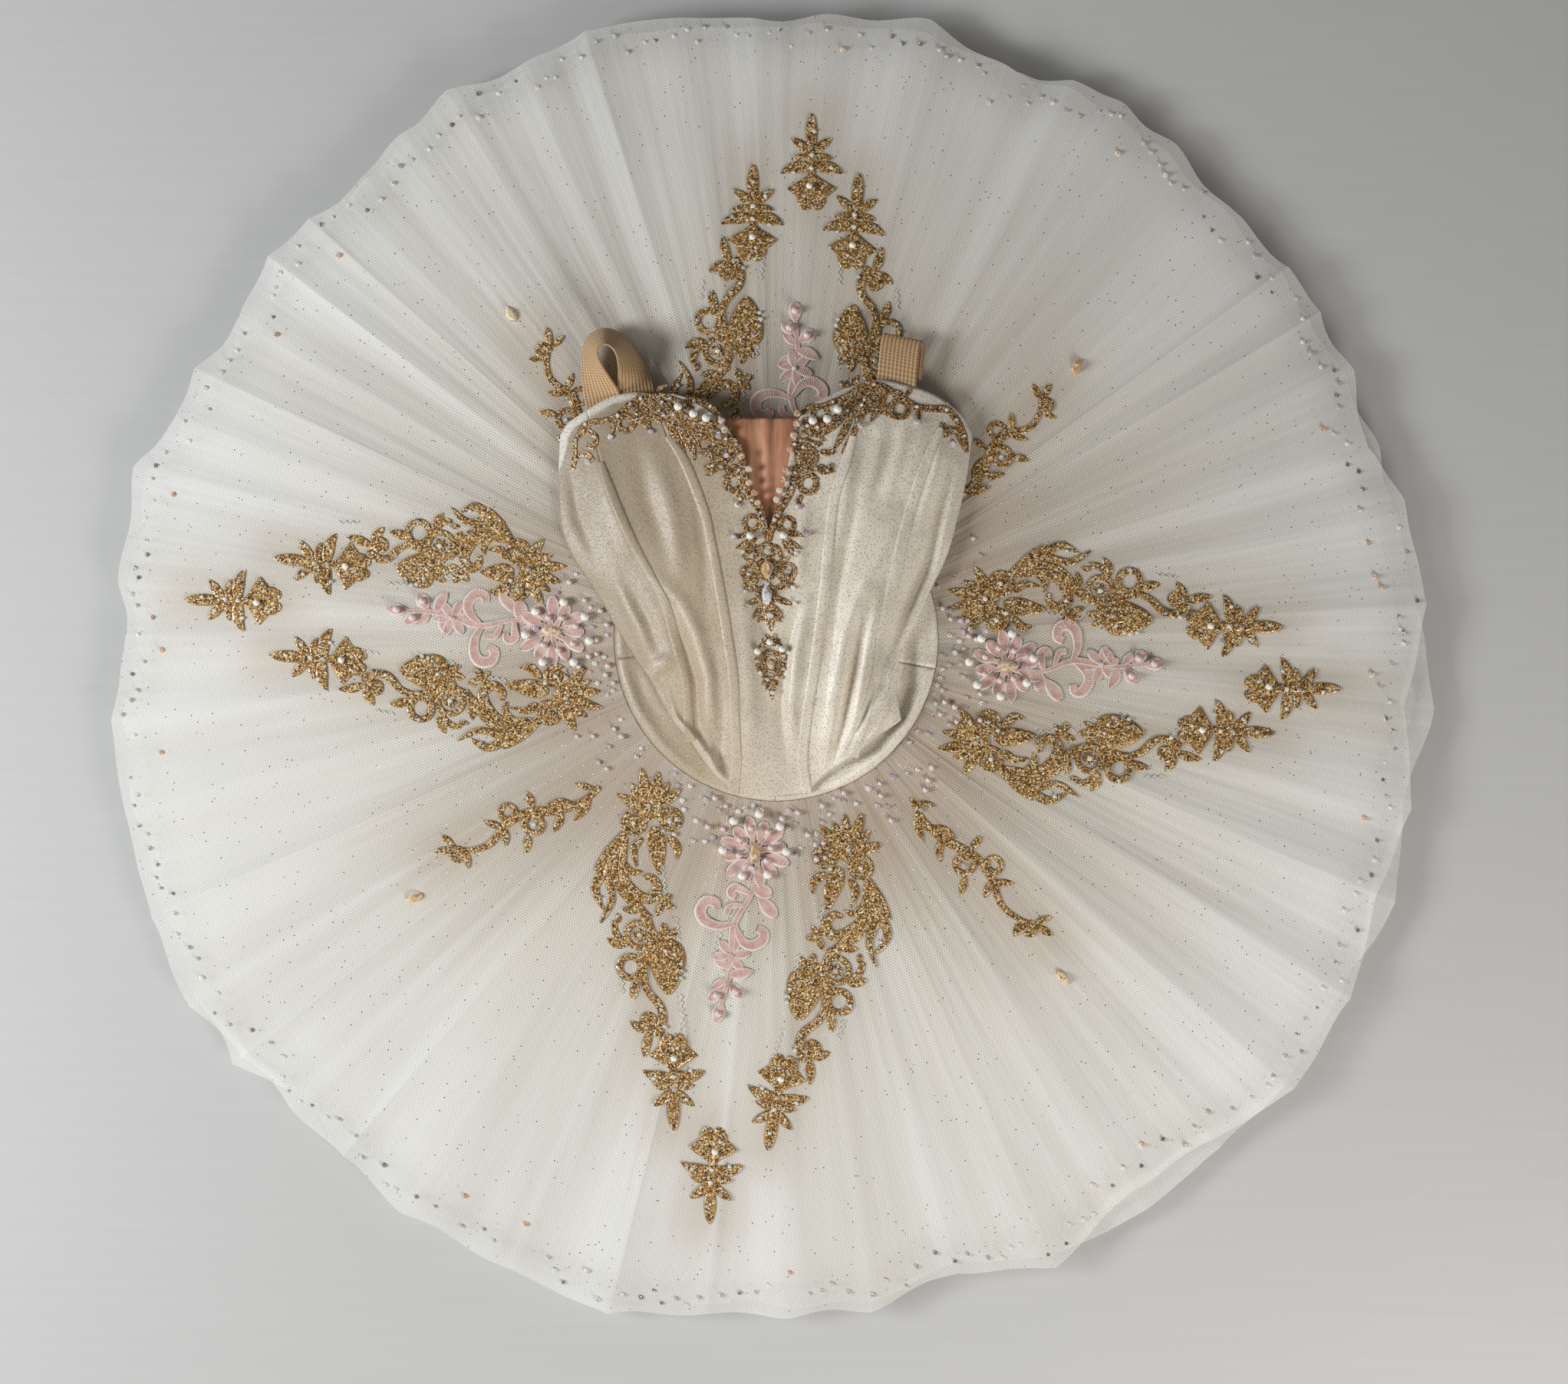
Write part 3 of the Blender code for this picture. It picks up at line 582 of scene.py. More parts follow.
@dataclass(frozen=True)
class ElasticFinish(Finish):
    """Ribbed woven elastic."""

    ground: Colour
    ribs: int = 10

    def wire(self, wiring: Wiring) -> None:
        """Wire the elastic's material."""
        ribs, picks = (
            wiring.range(wiring.sum("SINE", wiring.times(wiring.attribute(name), pace)),
                         -limit, limit)
            for name, pace, limit in (("across", math.tau * self.ribs, 0.7),
                                      ("along", 4.2, 0.8)))
        weave = wiring.sum("ADD", wiring.times(ribs, 0.7), wiring.times(picks, 0.3))
        fuzz = wiring.range(wiring.noise(wiring.place, 900.0), 0.5, 0.8, 0.0, 0.25)
        body = wiring.over(shade(self.ground, 0.42), (weave, self.ground),
                           (fuzz, (0.93, 0.86, 0.74)))
        wiring.set(Base_Color=body, Roughness=0.68, Sheen_Weight=0.2)
        wiring.bump(weave, 0.7, 0.5)


@dataclass(frozen=True)
class SatinFinish(Finish):
    """Plain stretch satin with a soft shine, and painted sheen as lighter streaks along its length.
    """

    ground: Colour
    light: Colour

    def wire(self, wiring: Wiring) -> None:
        """Wire the satin's material."""
        # painted sheen: lighter streaks along the satin's length
        long_way = wiring.vector("MULTIPLY", wiring.place, (1.0, 0.10, 0.5))
        streak = wiring.range(wiring.noise(long_way, 130.0), 0.38, 0.66)
        wiring.set(Base_Color=wiring.over(self.ground, (streak, self.light)), Roughness=0.42,
                   Sheen_Weight=0.2)
        wiring.bump(wiring.noise(wiring.place, 1400.0, 1.0), 0.15, 0.2)


@dataclass(frozen=True)
class StoneFinish(Finish):
    """Cut glass on foil: each stone has its own tint, with painted glints and painted dark
    reflections strewn over its facets.
    """

    tints: tuple[Colour, ...]

    def wire(self, wiring: Wiring) -> None:
        """Wire the stones' material."""
        stops = tuple((row / len(self.tints), tint) for row, tint in enumerate(self.tints))
        # painted glints and painted dark reflections on random facets
        painted_glint = wiring.chance(wiring.place, 420.0)
        colour = wiring.over(
            wiring.ramp(wiring.attribute("tint"), stops, stepped=True),
            (wiring.range(painted_glint, 0.62, 0.90, 0.0, 0.75), (1.0, 0.99, 0.97)),
            (wiring.range(painted_glint, 0.08, 0.26, 0.50, 0.0), (0.14, 0.09, 0.06)))
        wiring.set(Base_Color=colour, Metallic=0.2, Roughness=0.12, Coat_Weight=0.6,
                   Coat_Roughness=0.03)


@dataclass(frozen=True)
class PearlFinish(Finish):
    """Nacre: a soft body colour under a clear skin, with painted shade that darkens it towards its
    outline.
    """

    ground: Colour
    glow: Colour

    def wire(self, wiring: Wiring) -> None:
        """Wire the pearls' material."""
        # painted shade: the colour turns darker towards the pearl's outline
        facing = wiring.node("LayerWeight", 0.35).outputs["Facing"]
        wiring.set(Base_Color=wiring.over(self.ground, (facing, self.glow)),
                   Roughness=0.26, Coat_Weight=0.6, Coat_Roughness=0.06)


@dataclass(frozen=True)
class FloorFinish(Finish):
    """Plain pale boards with a faint grain."""

    ground: Colour

    def wire(self, wiring: Wiring) -> None:
        """Wire the floor's material."""
        grain = wiring.vector("MULTIPLY", wiring.place, (1.0, 26.0, 1.0))
        streak = wiring.range(wiring.noise(grain, 6.0, 4.0), 0.3, 0.7, 0.0, 0.30)
        wiring.set(Base_Color=wiring.over(self.ground, (streak, shade(self.ground, 0.93))),
                   Roughness=0.55)


OVERLAY_NET = NetFinish("overlay_net_glitter", (0.68, 0.53, 0.41), (0.90, 0.85, 0.75),
                        (0.96, 0.955, 0.94), 0.84, 0.56)
SECOND_NET = NetFinish("second_net", (0.72, 0.60, 0.48), (0.90, 0.86, 0.78),
                       (0.95, 0.945, 0.935), 0.92, 0.58, specks=False)
THIRD_NET = NetFinish("third_net", (0.76, 0.68, 0.58), (0.90, 0.87, 0.80),
                      (0.95, 0.945, 0.935), 1.25, 0.90, specks=False)
UNDER_NET = NetFinish("under_net", (0.80, 0.76, 0.70), (0.88, 0.85, 0.80),
                      (0.93, 0.92, 0.90), 1.25, 1.25, specks=False)
VELVET = VelvetFinish("cream_velvet", (0.72, 0.635, 0.52), (0.475, 0.385, 0.275),
                      (0.96, 0.885, 0.765))
BACK_VELVET = VelvetFinish("back_velvet", (0.66, 0.57, 0.44), (0.46, 0.375, 0.265),
                           (0.80, 0.73, 0.60), dot_depth=0.3)
GOLD_LACE = LaceFinish("gold_lace", (0.080, 0.034, 0.008), (0.36, 0.178, 0.040),
                       (0.68, 0.40, 0.13), (1.0, 0.90, 0.66), (0.43, 0.235, 0.062),
                       0.80, 0.22, False, 0.86)
BULLION = LaceFinish("bullion_lace", (0.035, 0.015, 0.005), (0.31, 0.135, 0.032),
                     (0.64, 0.36, 0.115), (1.0, 0.88, 0.66), (0.25, 0.115, 0.033),
                     0.66, 0.25, False, 0.84)
PINK_LACE = LaceFinish("pink_lace", (0.48, 0.26, 0.225), (0.61, 0.365, 0.315),
                       (0.84, 0.60, 0.535), (1.0, 0.9, 0.86), (0.97, 0.83, 0.78),
                       1.2, 0.0, True, 0.58)
THREAD = LaceFinish("loose_thread", (0.66, 0.63, 0.58), (0.74, 0.71, 0.66),
                    (0.80, 0.78, 0.74), (0.9, 0.9, 0.88), (0.80, 0.78, 0.74), 0.9, 0.0,
                    False)
ELASTIC = ElasticFinish("beige_elastic", (0.68, 0.42, 0.205))
SATIN = SatinFinish("nude_satin", (0.40, 0.155, 0.070), (0.70, 0.35, 0.21))
PEARL = PearlFinish("white_pearl", (0.94, 0.92, 0.87), (0.88, 0.82, 0.76))
PINK_PEARL = PearlFinish("pink_pearl", (0.82, 0.66, 0.66), (0.66, 0.50, 0.54))
CLEAR_STONE = StoneFinish("clear_stones", ((0.92, 0.93, 0.95), (0.62, 0.62, 0.63),
                                           (0.84, 0.88, 0.91), (0.50, 0.48, 0.46),
                                           (0.97, 0.94, 0.86)))
HEM_STONE = StoneFinish("hem_stones", ((0.58, 0.58, 0.56), (0.30, 0.28, 0.26),
                                       (0.80, 0.83, 0.84), (0.20, 0.18, 0.16),
                                       (0.62, 0.56, 0.46), (0.90, 0.90, 0.88)))
TOPAZ_STONE = StoneFinish("topaz_stones", ((0.86, 0.56, 0.38), (0.96, 0.78, 0.62),
                                           (0.72, 0.43, 0.27)))
LILAC_STONE = StoneFinish("lilac_stones", ((0.72, 0.58, 0.70), (0.80, 0.58, 0.60),
                                           (0.60, 0.52, 0.64), (0.90, 0.86, 0.88)))
CHAMPAGNE = StoneFinish("champagne_stones", ((0.86, 0.60, 0.30), (0.95, 0.76, 0.48),
                                             (0.70, 0.44, 0.19)))
FLOOR = FloorFinish("pale_floor", (0.60, 0.60, 0.60))


# ---------- pieces


def add_object(name: str, data: bpy.types.ID) -> Piece:
    """Put an object with its data into the scene."""
    made = bpy.data.objects.new(name, data)
    bpy.context.scene.collection.objects.link(made)
    return made


def add_mesh(bm: Mesh, name: str, finish: Finish) -> Piece:
    """Put an object with one finish into the scene, and free its mesh under way."""
    mesh = bpy.data.meshes.new(name)
    bm.to_mesh(mesh)
    bm.free()
    mesh.materials.append(finish.material())
    return add_object(name, mesh)


def make_piece(bm: Mesh, name: str, finish: Finish, slot: Slot,
               stands_for: Sequence[str] = (), smooth: bool = True,
               outwards: bool = True) -> Piece:
    """Turn a millimetre mesh into a piece of the garment.

    Args:
        bm: the mesh, which is freed.
        name: the piece's name.
        finish: its finish.
        slot: the slot for that finish; not used.
        stands_for: the solids that the piece replaces.
        smooth: whether its faces are shaded as one curved surface.
        outwards: whether its faces are turned outwards first.

    Returns:
        The piece, riding on the garment's one body.
    """
    bmesh.ops.scale(bm, vec=(MM, MM, MM), verts=bm.verts)
    if outwards:
        bmesh.ops.recalc_face_normals(bm, faces=bm.faces)
    for face in bm.faces:
        face.smooth = smooth
    piece = add_mesh(bm, name, finish)
    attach(piece, ROOT)
    if stands_for:
        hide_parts(*stands_for)
    LOG.info("%-28s %6d faces", name, len(piece.data.polygons))
    return piece


def give_wall(piece: Piece, wall: float, offset: float = -1.0) -> None:
    """Give an open surface its wall, below it unless the offset says otherwise."""
    solidify = piece.modifiers.new("wall", "SOLIDIFY")
    solidify.thickness = wall * MM
    solidify.offset = offset


# ---------- the plate


@dataclass(frozen=True)
class Pleat:
    """A pleat of the plate, at its crest.

    angle is its direction, anticlockwise from +X; reach and under are the radius of the
    overlay and of the net under it; rise is its height at the rim; lean is the side on
    which it steps down, 1 anticlockwise and -1 clockwise.
    """

    angle: float
    reach: float
    under: float
    rise: float
    lean: int

    @property
    def strength(self) -> float:
        """How well the pleat has kept its press, from 0 to 1: most have slackened."""
        chance = math.sin(self.angle * 12.9898) * 43758.5453
        calm = math.exp(-((self.angle - CALM_ANGLE) / CALM_SPREAD) ** 2)
        return (chance - math.floor(chance)) ** 1.7 * (1.0 - 0.75 * calm)

    @property
    def soft(self) -> float:
        """Rise of the cloth that shows."""
        return self.rise * (0.20 + 0.55 * self.strength)


PLEATS = [Pleat(*sizes) for sizes in entries("""
3 463 455 6 1 / 12.5 456 449 4 1 / 18 440 447 3 -1 / 25 451 444 5 -1 / 31 450 443 5 1 / 36 448 442 4 1
43 443 438 4 -1 / 51 450 443 6 1 / 57 452 445 4 1 / 62 448 441 4 -1 / 67 436 437 3 -1 / 76 451 444 6 1
85 443 437 5 -1 / 92 441 436 4 1 / 99 446 440 4 -1 / 107.5 453 446 6 1 / 114 445 439 4 1
121 451 444 5 -1 / 127 446 439 4 1 / 133 440 436 3 -1 / 138 444 438 3 1 / 143 451 445 5 1
149 443 437 4 -1 / 155 454 447 5 1 / 160 455 449 3 -1 / 165 469 460 5 1 / 175 468 460 6 -1
181 461 455 4 1 / 187 475 467 5 1 / 195 479 471 5 -1 / 204 485 477 6 1 / 212 491 482 5 -1
218 480 489 4 1 / 224 478 470 4 -1 / 230 478 472 4 1 / 237 486 477 6 1 / 247 484 477 6 -1
256 494 485 6 1 / 264 481 474 5 -1 / 271 479 473 4 1 / 278 481 475 5 -1 / 286 467 462 4 1
294 487 479 5 1 / 303 466 484 5 -1 / 311 470 480 4 1 / 319 487 479 6 -1 / 328 481 474 5 1
337 462 477 6 -1 / 345 468 461 4 1 / 354 447 470 5 -1
""")]


PLEAT_PAIRS = list(zip(PLEATS, PLEATS[1:] + PLEATS[:1]))


def pleat_at(angle: float) -> tuple[Pleat, Pleat, float]:
    """The pleats before and after a direction in degrees, and the share between them."""
    for pleat, after in PLEAT_PAIRS:
        width, offset = (after.angle - pleat.angle) % 360.0, (angle - pleat.angle) % 360.0
        if offset < width:
            return pleat, after, offset / width
    return PLEATS[0], PLEATS[1], 0.0

# Height across one pleat, from its crest at 0 to the next at 1, where it leans anticlockwise.
PLEAT_FORM = SmoothTable(((0.0, 1.0), (0.05, 0.66), (0.13, 0.30), (0.28, 0.0), (0.45, 0.14),
                          (0.70, 0.50), (0.90, 0.87), (1.0, 1.0)))
PLEAT_SHARES = (0.0, 0.02, 0.045, 0.08, 0.13, 0.20, 0.29, 0.40, 0.52, 0.64, 0.76, 0.86,
                0.93, 0.975)


class Column(Enum):
    """Which radius of a pleat a layer of net ends at."""

    OVERLAY = "reach"
    UNDER = "under"


def pleat_height(pleat: Pleat, after: Pleat, share: float) -> float:
    """Share of a pleat's rise at a share of the way to the next crest.

    Args:
        pleat: the pleat.
        after: the next pleat.
        share: how far between their crests.

    Returns:
        The share, 1 at both crests; a slack pleat is round and a pressed one is sharp.
    """
    sharp = PLEAT_FORM(share if pleat.lean > 0 else 1.0 - share)
    slack = 0.5 + 0.5 * math.cos(math.tau * share)
    pressed = pleat.strength + (after.strength - pleat.strength) * share
    return slack + (sharp - slack) * pressed


def cone_height(hip: float, rim: float, radius: float) -> float:
    """Height of a layer's flat cone at a radius."""
    share = (radius - HIP_RADIUS) / (PLATE_REACH - HIP_RADIUS)
    return hip + (rim - hip) * share


class PlateForm:
    """Height of the overlay, for all that is sewn to it or lies on it."""

    steps = 1440
    reach_steps = 3

    def __init__(self) -> None:
        """Read the pleats at fine steps all round, and the highest near each step."""
        self.relief = [self.rise_at(360.0 * step / self.steps) for step in range(self.steps)]
        spread = range(-self.reach_steps, self.reach_steps + 1)
        self.cover = [max(self.relief[(step + other) % self.steps] for other in spread)
                      for step in range(self.steps)]

    @staticmethod
    def rise_at(angle: float) -> float:
        """Rise of the pleats at the rim in a direction given in degrees."""
        pleat, after, share = pleat_at(angle)
        return lerp(pleat.soft, after.soft, share) * pleat_height(pleat, after, share)

    def read(self, heights: Sequence[float], x: float, y: float) -> float:
        """Height at a point, with the pleats read from those of all directions."""
        radius = math.hypot(x, y)
        place = math.degrees(math.atan2(y, x)) % 360.0 / 360.0 * self.steps
        low = int(place) % self.steps
        rise = lerp(heights[low], heights[(low + 1) % self.steps], place - int(place))
        return cone_height(OVERLAY_HIP, OVERLAY_RIM, radius) + rise * radius / PLATE_REACH

    def top(self, x: float, y: float) -> float:
        """Height of the overlay itself."""
        return self.read(self.relief, x, y)

    def lace(self, x: float, y: float) -> float:
        """Height of the underside of stiff lace, which bridges the steps of the pleats."""
        return self.read(self.cover, x, y) + 0.25


@dataclass
class NetLayer:
    """One pleated layer of net, gathered into the hip ring."""

    name: str
    node: str
    column: Column
    finish: NetFinish
    slot: Slot
    shorter: float
    hip: float
    rim: float
    share: float
    flat: Point
    area: float
    seed: int
    wave: float = 1.3
    rings: int = 26

    def columns(self) -> list[tuple[float, float, float, float, float, float]]:
        """Angle, rim radius, rise, fold, tone and start for each column, all round."""
        dice = random.Random(self.seed)
        tones = [dice.random() for _ in PLEATS]
        starts = [dice.uniform(-0.1, 0.34) for _ in PLEATS]
        found = []
        for row, (pleat, after) in enumerate(PLEAT_PAIRS):
            later = (row + 1) % len(PLEATS)
            width = (after.angle - pleat.angle) % 360.0
            near, far = (getattr(edge, self.column.value) for edge in (pleat, after))
            for share in (PLEAT_SHARES if pleat.lean > 0 else
                          sorted((1.0 - share) % 1.0 for share in PLEAT_SHARES)):
                height = pleat_height(pleat, after, share)
                angle = pleat.angle + width * share
                ripple = (math.sin(math.radians(angle * 41) + self.seed)
                          + 0.7 * math.sin(math.radians(angle * 17) + self.seed))
                reach = lerp(near, far, share) - LOBE_DIP * (1.0 - height)
                fold = smooth_step(0.88, 1.0, height)
                fold *= lerp(0.10, 1.0, pleat.strength if share < 0.5 else after.strength)
                found.append((math.radians(angle), reach - self.shorter + self.wave * ripple,
                              lerp(pleat.soft, after.soft, share) * height, fold,
                              lerp(tones[row], tones[later], smooth_step(0.2, 0.8, share)),
                              lerp(starts[row], starts[later], share)))
        return found

    def mesh(self) -> Mesh:
        """Make the layer as one open sheet with its marks for the finish."""
        columns = self.columns()
        start = HIP_RADIUS + SEAM_GAP
        bm = bmesh.new()
        marks = [bm.verts.layers.float.new(key)
                 for key in ("fold", "tone", "rim", "valley", "glow")]
        for corner, column, row in grid_corners(bm, len(columns), self.rings):
            angle, reach, rise, fold, tone, begin = columns[column % len(columns)]
            share = (row / self.rings) ** 0.9
            radius = lerp(start, reach, share)
            flutter = (math.sin(angle * 23.0 + self.seed) * math.sin(angle * 9.0)
                       * 1.1 * smooth_step(0.75, 1.0, share))
            corner.co = polar(radius, angle, cone_height(self.hip, self.rim, radius)
                              + rise * self.share * radius / PLATE_REACH
                              + flutter * self.share)
            opened = smooth_step(begin, begin + 0.45, share)
            # painted shade: the overlay darkens to tan near the lace
            glow = 0.0
            if self.column is Column.OVERLAY:
                near = min(spray.away(corner.co.x, corner.co.y)
                           for spray in GARLANDS + SCROLLS + TIP_LILIES)
                glow = math.exp(-(near / 24.0) ** 2)
            # marks: fold, tone, distance from the rim, painted shade in the pleats' troughs near the
            # hip, and painted shade near the lace
            for mark, value in zip(marks, (
                    fold * opened, tone * (0.35 + 0.65 * opened),
                    (reach - start) * (1.0 - share),
                    (1.0 - fold) * (1.0 - opened) * (0.35 + 0.65 * tone), glow)):
                corner[mark] = value
        bmesh.ops.remove_doubles(bm, verts=bm.verts, dist=WELD)
        return bm

    def build(self) -> Piece:
        """Make and dress the layer."""
        piece = make_piece(self.mesh(), self.name, self.finish, self.slot,
                           (self.node,))
        return piece


@dataclass
class UnderNets:
    """The hidden layers of net, with their own edges at the rim.

    layers has how much shorter each is cut, and its heights at the hip and at the rim.
    """

    layers: tuple[tuple[float, float, float], ...] = (
        (34.0, 44.2, 4.6), (46.0, 40.5, 3.2), (60.0, 36.0, 1.9))
    floor: tuple[Point, ...] = ((395.0, 2.6), (388.0, 0.4), (250.0, 0.35), (118.0, 0.35),
                                (114.6, 3.0), (114.4, 22.0), (114.35, 43.5))
    lowest: float = 0.75
    rings: int = 12

    def build(self) -> Piece:
        """Make and dress the hidden layers as one piece that lies on the floor."""
        bm = bmesh.new()
        marks = [bm.verts.layers.float.new(key) for key in ("fold", "tone", "rim")]
        for seed, layer in enumerate(self.layers):
            self.add_layer(bm, marks, layer, seed)
        count = len(PLEATS) * 2
        for corner, column, row in grid_corners(bm, count, len(self.floor) - 1):
            angle = math.tau * (column % count) / count
            radius, height = self.floor[row]
            radius += 4.0 * math.sin(angle * 17.0) * smooth_step(250.0, 390.0, radius)
            corner.co = polar(radius, angle, height)
            corner[marks[2]] = 60.0
        bmesh.ops.remove_doubles(bm, verts=bm.verts, dist=WELD)
        return make_piece(bm, "under_nets_layers", UNDER_NET, Slot.NET_WHITE,
                          ("under_nets",))

    def add_layer(self, bm: Mesh, marks: list, layer: tuple[float, float, float],
                  seed: int) -> None:
        """Add one layer with its marks; the seed changes its ripple."""
        shorter, hip, rim = layer
        count = len(PLEATS) * 4
        start = HIP_RADIUS + SEAM_GAP
        for corner, column, row in grid_corners(bm, count, self.rings):
            turn = column % count / count
            pleat = PLEATS[int(turn * len(PLEATS)) % len(PLEATS)]
            angle = math.radians(PLEATS[0].angle) + math.tau * turn
            wave = math.sin(angle * 31.0 + seed * 1.9)
            radius = start + (pleat.under - shorter + 3.0 * wave - start) * row / self.rings
            lift = 0.8 * (1.0 + wave) * smooth_step(0.4, 1.0, row / self.rings)
            height = max(cone_height(hip, rim, radius) + lift, self.lowest)
            corner.co = polar(radius, angle, height)
            corner[marks[1]], corner[marks[2]] = 0.4, 60.0


@dataclass
class Plate:
    """All layers of net, from the glittered overlay down."""

    layers: list[NetLayer] = field(default_factory=lambda: [
        NetLayer("tulle_overlay", "overlay_net", Column.OVERLAY, OVERLAY_NET,
                 Slot.NET_IVORY, 0.0, OVERLAY_HIP, OVERLAY_RIM, 1.0, (0.95, 0.93), 0.63, 3),
        NetLayer("tulle_second", "net_2", Column.UNDER, SECOND_NET, Slot.NET_WHITE,
                 0.0, 48.2, 11.5, 0.8, (0.94, 0.92), 0.61, 8),
        NetLayer("tulle_third", "net_3", Column.UNDER, THIRD_NET, Slot.NET_WHITE,
                 14.0, 46.0, 6.5, 0.6, (0.92, 0.90), 0.57, 5),
    ])

    def build(self) -> list[Piece]:
        """Make every layer, the hidden ones first."""
        return [UnderNets().build()] + [layer.build() for layer in self.layers]


# ---------- the bodice's form


# Plan of the bodice's seams and edges, from the hem up and from left to right.
(CENTRE, INNER_LEFT, INNER_RIGHT, OUTER_LEFT, OUTER_RIGHT, SIDE_LEFT, SIDE_RIGHT, V_LEFT,
 V_RIGHT, HEM_LEFT, HEM_RIGHT, TOP_FRONT_LEFT, TOP_FRONT_RIGHT, TOP_SIDE_LEFT,
 TOP_SIDE_RIGHT) = (row[0] for row in table("""
-4,-111 -4,-60 -3.5,0 -3,69
-30,-108 -28,-86 -29,-57 -30,-26 -34,2 -39,33 -45,64 -51,91 -64,124 -76,142 -87,172
22,-108 19,-86 21,-59 26,-26 30,3 34,36 37,69 41,100 49,124 54,142 61,179
-60,-72 -62,-50 -64,-26 -71,2 -78,25 -87,42 -102,71 -116,104 -123,124 -133,161
54,-83 57,-72 63,-52 70,-26 74,3 81,36 88,69 96,97 106,126 116,148 121,166
-88,-28 -100,-11 -113,9 -124,29 -142,56 -151,78 -153,110 -152,143
88,-57 85,-35 88,-8 98,11 108,33 120,58 128,86 134,113 138,144
-3,69 -11,91 -18,110 -25,130 -33,147 -44,158 -60,168 -73,172
-3,69 1,88 6,108 10,130 14,149 22,162 39,171 49,176
-30,-108 -45,-94 -60,-72 -74,-55 -88,-28
22,-108 36,-94 54,-83 70,-70 88,-57
-133,161 -116,170 -101,173 -87,172
61,179 75,182 94,178 109,173 121,166
-152,143 -146,152 -133,161
121,166 131,157 138,144
"""))


@dataclass(frozen=True)
class Crease:
    """A soft ridge, or a trough where its height is below 0, along a bent line.

    left and right are its half-widths on the two sides of its line; it fades at both ends.
    """

    path: tuple[Point, ...]
    left: float
    right: float
    height: float

    @cached_property
    def box(self) -> tuple[float, float, float, float]:
        """Lowest and highest x, then lowest and highest y, that the crease reaches."""
        reach = 2.6 * max(self.left, self.right)
        across, along = zip(*self.path)
        return min(across) - reach, max(across) + reach, min(along) - reach, max(along) + reach

    def nearest(self, x: float, y: float) -> tuple[float, float, float]:
        """Distance to the line, the side (above 0 on its left) and the share along it."""
        best = (math.inf, 1.0, 0.0)
        count = len(self.path) - 1
        for row, ((x0, y0), (x1, y1)) in enumerate(zip(self.path, self.path[1:])):
            run_x, run_y = x1 - x0, y1 - y0
            share = ((x - x0) * run_x + (y - y0) * run_y) / (run_x ** 2 + run_y ** 2)
            share = max(0.0, min(1.0, share))
            off_x, off_y = x - x0 - share * run_x, y - y0 - share * run_y
            away = math.hypot(off_x, off_y)
            if away < best[0]:
                best = (away, run_x * off_y - run_y * off_x, (row + share) / count)
        return best

    def lift(self, x: float, y: float) -> float:
        """Height that the crease adds at a point, below 0 in a trough."""
        low_x, high_x, low_y, high_y = self.box
        if not (low_x < x < high_x and low_y < y < high_y):
            return 0.0
        away, side, share = self.nearest(x, y)
        half = 0.86 * (self.left if side > 0 else self.right)
        fade = math.sin(math.pi * (0.06 + 0.88 * share)) ** 0.8
        return self.height * fade * math.exp(-(away / half) ** 2)


CREASES = [Crease(path, *sizes) for path, sizes in table("""
# waist at the left: the pinch at the side, and the sharp fold that runs to the hem
-92,-27 -84,-20 -73,-14 / 7 5 2.6
-90,-34 -84,-55 -76,-68 -64,-80 / 6 6 3
-84,-28 -74,-46 -66,-58 / 4.5 4.5 -1.7
-80,-30 -69,-57 -55,-72 -44,-88 -34,-106 / 3.5 6 3.6
-76,-62 -64,-76 -54,-84 / 4.5 4.5 -1.8
-72,12 -62,-10 -56,-30 -54,-56 -48,-74 / 6 5 -2.4
-82,42 -66,24 -56,2 -48,-28 -49,-62 -47,-84 / 7 6 2.4
-42,-10 -38,-50 -41,-86 -37,-102 / 4.5 4.5 -1.4
-46,-76 -42,-92 -34,-100 / 3.5 3.5 2
-112,38 -96,8 -88,-14 / 7 5 1.8
-104,40 -90,12 -82,-10 / 5 6 -1.4
# left of the bust
-128,134 -118,96 -102,62 / 9 7 1.6
-146,120 -138,84 -124,52 / 8 6 -1.4
-98,134 -90,96 -76,60 / 8 8 -1.2
-84,128 -74,90 -66,40 / 8 8 1.6
-58,108 -50,60 -48,10 / 5 5 -1
# centre front
-24,40 -20,-8 -18,-60 -20,-100 / 6 6 1.3
-14,48 -8,0 -6,-60 / 6 6 -1.2
22,26 14,-8 10,-47 13,-84 / 6 4 2.4
14,20 6,-14 3,-50 6,-84 / 4 5 -1.8
22,100 17,66 16,40 / 5 4 1.2
# right front: long bright folds from the bust to the waist
58,150 50,110 46,70 / 5 6 1.6
56,100 51,76 42,30 36,-20 / 5 6 -1.8
82,70 62,40 48,4 40,-40 34,-80 / 7 5 3
60,30 54,-18 46,-60 38,-88 / 5 4 -2.8
72,34 62,-20 55,-58 46,-88 / 5 4 2.6
92,150 84,122 76,96 / 6 6 1.5
84,152 76,122 68,92 / 5 5 -0.5
76,150 70,124 62,100 / 6 6 1.3
104,146 96,124 88,104 / 6 6 1.2
# right side: the rolled edge and the long trough beside it
130,120 120,76 112,44 97,10 87,-12 / 7 6 2.8
120,118 108,56 92,20 79,-14 / 6 6 -3
118,146 112,116 100,80 / 5 5 1.8
84,-8 80,-34 72,-52 / 4 4 2.2
# waist at the right, drawn together into the hem
88,-34 76,-56 62,-76 46,-94 26,-107 / 4 5 3.4
80,-56 70,-73 60,-82 / 4 4 -3
76,-36 66,-56 54,-78 36,-96 / 4 4 2.6
70,-30 60,-58 48,-80 / 3 3 -2
""")]


def mark_crease_shading(bm: Mesh, creases: Sequence[Crease]) -> None:
    """Mark each corner with its creases' relief, 1 on a ridge of 3 mm and -1 in such a trough, which
    the velvet turns into painted highlight on ridges and painted shade in troughs.
    """
    relief = bm.verts.layers.float.new("relief")
    for corner in bm.verts:
        lift = sum(crease.lift(corner.co.x, corner.co.y) for crease in creases)
        corner[relief] = max(-1.0, min(1.0, lift / RELIEF_FULL))


